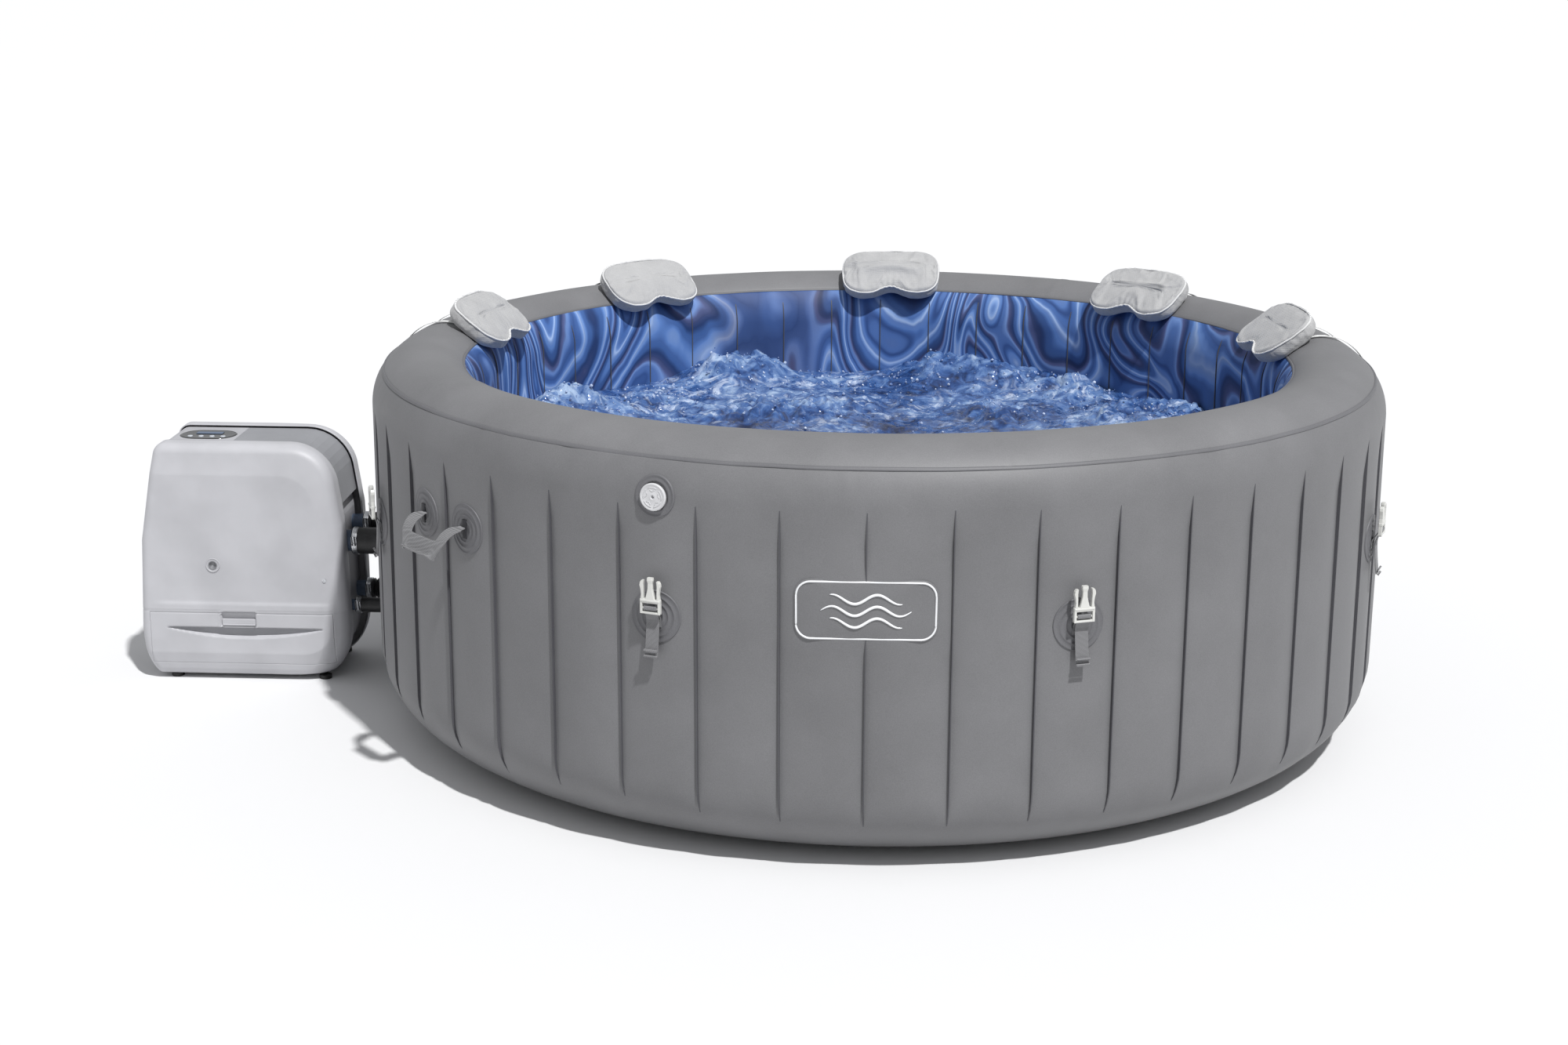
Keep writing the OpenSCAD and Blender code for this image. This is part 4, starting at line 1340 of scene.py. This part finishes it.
def make_cheek(name, front):
    """A side shell of the unit as a fine sheet over the outline, with a rolled edge and a wall behind it."""
    cols, rows = 200, 220
    zs = []
    for j in range(rows + 1):
        f = j / rows
        f = f - 0.85 * math.sin(2 * math.pi * f) / (2 * math.pi) * 0.6
        zs.append(PUMP_Z0 + (PUMP_TOP - PUMP_Z0) * f)
    zs[0] += 1e-5
    zs[-1] -= 1e-5
    flat, rights = [], []
    for z in zs:
        x0, x1 = outline_span(z)
        rights += [x1] * (cols + 1)
        for i in range(cols + 1):
            f = i / cols
            f = f - 0.9 * math.sin(2 * math.pi * f) / (2 * math.pi) * 0.6
            flat.append((x0 + (x1 - x0) * f, z))
    edge = edge_distance(np.array(flat))
    y_face, y_back = (PUMP_Y0, CORE_Y0) if front else (PUMP_Y1, CORE_Y1)
    sign = 1.0 if front else -1.0
    verts = [
        (x, y_face + sign * cheek_depth(x, z, e, right, front), z)
        for (x, z), e, right in zip(flat, edge, rights)
    ]
    width = cols + 1
    faces, hatch = [], []
    for j in range(rows):
        for i in range(cols):
            quad = (j * width + i, j * width + i + 1, (j + 1) * width + i + 1, (j + 1) * width + i)
            z = (zs[j] + zs[j + 1]) / 2
            x = sum(flat[q][0] for q in quad) / 4
            inside = HATCH_LOW < z < HATCH_HIGH and HATCH_X0 < x < HATCH_X1
            (hatch if front and inside else faces).append(quad)
    loop = (
        [i for i in range(width)]
        + [j * width + cols for j in range(1, rows + 1)]
        + [rows * width + i for i in range(cols - 1, -1, -1)]
        + [j * width for j in range(rows - 1, 0, -1)]
    )
    ring_before = loop
    for step, shrink in ((0.35, 0.0), (0.75, 0.0), (0.97, 0.0), (1.0, 0.002)):
        ring = []
        for q in loop:
            x, y, z = verts[q]
            cx, cz = -1.41, 0.28
            pull = 1 - shrink / 0.25
            ring.append(len(verts))
            verts.append((cx + (x - cx) * pull, y + (y_back - y) * step, cz + (z - cz) * pull))
        for k in range(len(loop)):
            m = (k + 1) % len(loop)
            faces.append((ring_before[k], ring_before[m], ring[m], ring[k]))
        ring_before = ring
    obj = make(f"{name}_shell", verts, faces, "tub", MATS["shell"])
    clean(obj)
    thicken(obj, 0.003, -1.0)
    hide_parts("pump_front_shell" if front else "pump_rear_shell")
    if hatch:
        mid_x, mid_z = (HATCH_X0 + HATCH_X1) / 2, (HATCH_LOW + HATCH_HIGH) / 2
        moved = [(mid_x + (x - mid_x) * 0.998, y, mid_z + (z - mid_z) * 0.990) for x, y, z in verts]
        door = make("service_hatch_door", moved, hatch, "service_hatch", MATS["shell"])
        clean(door)
        thicken(door, 0.0028, -1.0)
        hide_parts("service_hatch")


def clean(obj):
    """Drops unused vertices and doubled ones."""
    bm = bmesh.new()
    bm.from_mesh(obj.data)
    bmesh.ops.delete(bm, geom=[v for v in bm.verts if not v.link_faces], context="VERTS")
    bmesh.ops.remove_doubles(bm, verts=bm.verts, dist=1e-6)
    bmesh.ops.recalc_face_normals(bm, faces=bm.faces)
    bm.to_mesh(obj.data)
    bm.free()


def make_latch():
    s = Shape()
    x0, x1 = LATCH_X - 0.0385, LATCH_X + 0.0385
    s.block((x0, PUMP_Y0 + 0.0020, LATCH_Z - 0.0148), (x1, PUMP_Y0 + 0.0075, LATCH_Z + 0.0010), 0.0014)
    low = (x0 + 0.002, PUMP_Y0 + 0.0005, LATCH_Z - 0.0145)
    s.block(low, (x1 - 0.002, PUMP_Y0 + 0.0045, LATCH_Z - 0.0105), 0.0012)
    s.piece("hatch_latch_lever", "hatch_latch", "pump_shell", "shell", "hatch_latch", shade=False)


def make_screw_recess():
    """A raised ring and a dished seat with a socket at the visible screw of the front shell."""
    place, axis = (SCREW_X, PUMP_Y0, SCREW_Z), (0, 1, 0)
    rings, seats = Shape(), Shape()
    rings.lathe(
        [(0.0015, 0.0168), (-0.0006, 0.0160), (-0.0009, 0.0148), (0.0002, 0.0136), (0.0015, 0.0130)],
        place, axis, 56,
    )
    seats.lathe(
        [(-0.0002, 0.0100), (-0.0004, 0.0090), (0.0006, 0.0060), (0.0006, 0.0040), (0.0030, 0.0036)],
        place, axis, 48,
    )
    rings.piece("screw_rings", "tub", "pump_shell", "shell")
    seats.piece("screw_seats", "tub", "pump_shell", "cover")


def make_panel():
    """The glossy oval panel and the window set in it."""
    low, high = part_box("control_panel")
    cx, cy = (low.x + high.x) / 2, (low.y + high.y) / 2
    w, h = high.x - low.x, high.y - low.y
    shape = Shape()
    rows = []
    top = high.z
    for shrink, drop in (
        (0.0, 0.010), (0.0, 0.0015), (0.0015, 0.0), (0.006, 0.0), (0.020, 0.0005), (0.040, 0.0005),
    ):
        loop = rounded_loop(w - 2 * shrink, h - 2 * shrink, max(0.002, h / 2 - 0.001 - shrink), 14)
        rows.append([(cx + x, cy + y, top - drop) for x, y in loop])
    shape.loft(rows)
    shape.piece("control_panel_glass", "tub", "panel_gloss", "panel", "control_panel")
    marks = Shape()
    marks.block((cx - 0.030, cy + 0.004, top), (cx + 0.030, cy + 0.024, top + 0.0008), 0.0003)
    marks.piece("panel_window", "tub", "panel_gloss", "pipe", shade=False)


def make_buttons():
    for i in range(4):
        name = f"button_{i + 1}"
        low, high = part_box(name)
        r, tall = (high.x - low.x) / 2, high.z - low.z
        s = Shape()
        s.lathe(
            [(0, r * 0.96), (0.004, r), (tall - 0.001, r * 0.97), (tall, r * 0.82), (tall - 0.0005, 0)],
            ((low.x + high.x) / 2, (low.y + high.y) / 2, low.z), (0, 0, 1), 32,
        )
        s.piece(f"{name}_cap", name, "button_plastic", "button", name)


def hose_line(node):
    """Centre and radius of one hose, read from its CAD node."""
    low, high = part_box(node)
    return (low.y + high.y) / 2, (low.z + high.z) / 2, (high.z - low.z) / 2


HOSES = {name: hose_line(name) for name in ("jet_hose", "air_hose", "outlet_hose", "inlet_hose")}
WATER_LINES = ("outlet_hose", "inlet_hose")
CLAMP_LEAN = math.radians(-75)


def make_hoses():
    for name, (y, z, r) in HOSES.items():
        ribbed = name in WATER_LINES
        low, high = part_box(name)
        length = high.x - low.x
        s = Shape()
        profile = [(0.0, r * 0.80), (0.0005, r * 0.985)]
        steps = 96
        for i in range(steps + 1):
            f = i / steps
            edge = smooth(f, 0.16, 0.24) * (1 - smooth(f, 0.76, 0.84))
            dip = 0.5 - 0.5 * math.cos(2 * math.pi * 9 * f)
            profile.append((0.001 + (length - 0.002) * f, r * (1 - (0.17 * dip * edge if ribbed else 0.0))))
        profile.append((length - 0.0005, r * 0.985))
        profile.append((length, r * 0.80))
        s.lathe(profile, (low.x, y, z), (1, 0, 0), 48)
        s.piece(f"{name}_tube", "tub", "hose_rubber", "hose", name)


def make_clamps():
    """Worm-drive bands: a strip with a screw housing and its hex head."""
    s = Shape()
    low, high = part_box("hose_clamps")
    c, d = math.cos(CLAMP_LEAN), math.sin(CLAMP_LEAN)
    for y, z, r in HOSES.values():
        for x in (low.x, high.x - 0.012):
            s.lathe(
                [
                    (0.0, r + 0.0002), (0.0004, r + 0.0014), (0.0035, r + 0.0011),
                    (0.0085, r + 0.0011), (0.0116, r + 0.0014), (0.012, r + 0.0002),
                ],
                (x, y, z), (1, 0, 0), 56,
            )
            start = len(s.verts)
            s.block((x - 0.0005, -0.008, r + 0.0008), (x + 0.0125, 0.008, r + 0.0042), 0.001)
            s.lathe(
                [(0, 0.0045), (0.018, 0.0045), (0.0181, 0.0052), (0.0235, 0.0052), (0.0237, 0.002)],
                (x + 0.006, -0.009, r + 0.0052), (0, 1, 0), 24,
            )
            s.move(start, lambda px, py, pz, y=y, z=z: (px, y + py * c + pz * d, z + py * d + pz * c))
    s.piece("hose_bands", "tub", "clamp_steel", "steel", "hose_clamps", shade=False)


def make_wall_fittings():
    """Ribbed flanges and barrels at the tub's wall, and the strainers inside."""
    s = Shape()
    for name, (y, z, r) in HOSES.items():
        through = name in WATER_LINES
        a = math.atan2(y, -TUB_R)
        face = -math.sqrt(wall_radius(a, z) ** 2 - y * y)
        flange = r + (0.010 if through else 0.014)
        s.lathe(
            [
                (-0.033, r * 0.6), (-0.033, r + 0.003), (-0.020, r + 0.004), (-0.0185, r + 0.006),
                (-0.012, r + 0.006), (-0.0105, r + 0.003), (-0.006, r + 0.004), (-0.0045, flange),
                (0.0025, flange + 0.001), (0.006, flange - 0.004),
            ],
            (face, y, z), (1, 0, 0), 56,
        )
        for k in range(8):
            b = math.radians(45 * k + 10)
            start = len(s.verts)
            s.block((-0.018, -0.002, r + 0.002), (-0.004, 0.002, flange - 0.001), 0.0008)

            def turn(px, py, pz, b=b, y=y, z=z, face=face):
                """Round the fitting's axis by b."""
                across = py * math.cos(b) - pz * math.sin(b)
                return (face + px, y + across, z + py * math.sin(b) + pz * math.cos(b))

            s.move(start, turn)
        if through:
            inner = -math.sqrt(liner_radius(a, z) ** 2 - y * y)
            s.lathe(
                [(-0.012, 0.03), (-0.002, 0.042), (0.012, 0.040), (0.018, 0.034), (0.019, 0.004)],
                (inner, y, z), (1, 0, 0), 48,
            )
    s.piece("hose_fittings", "tub", "pipe_plastic", "pipe", "wall_fittings", shade=False)


make_cheek("front_cheek", True)
make_cheek("rear_cheek", False)
make_latch()
make_screw_recess()
make_panel()
make_buttons()
make_hoses()
make_clamps()
make_wall_fittings()

for cad_node, look in {
    "base_sheet": "base", "floor_pad": "liner", "wall_beams": "base", "valve_seal": "feet",
    "air_ring": "pipe",
    "air_duct": "pipe", "jet_manifold": "pipe", "jet_nozzles": "jet", "pump_core": "core",
    "pump_top_cover": "cover", "pump_feet": "feet", "shell_screws": "steel", "control_board": "board",
    "filter_cartridge": "filter", "flow_pump_housing": "dark", "flow_impeller": "brass",
    "blower_housing": "dark", "blower_fan": "button", "heater_tube": "steel", "pump_ports": "pipe",
    "cable_gland": "feet",
}.items():
    paint_node(cad_node, look)
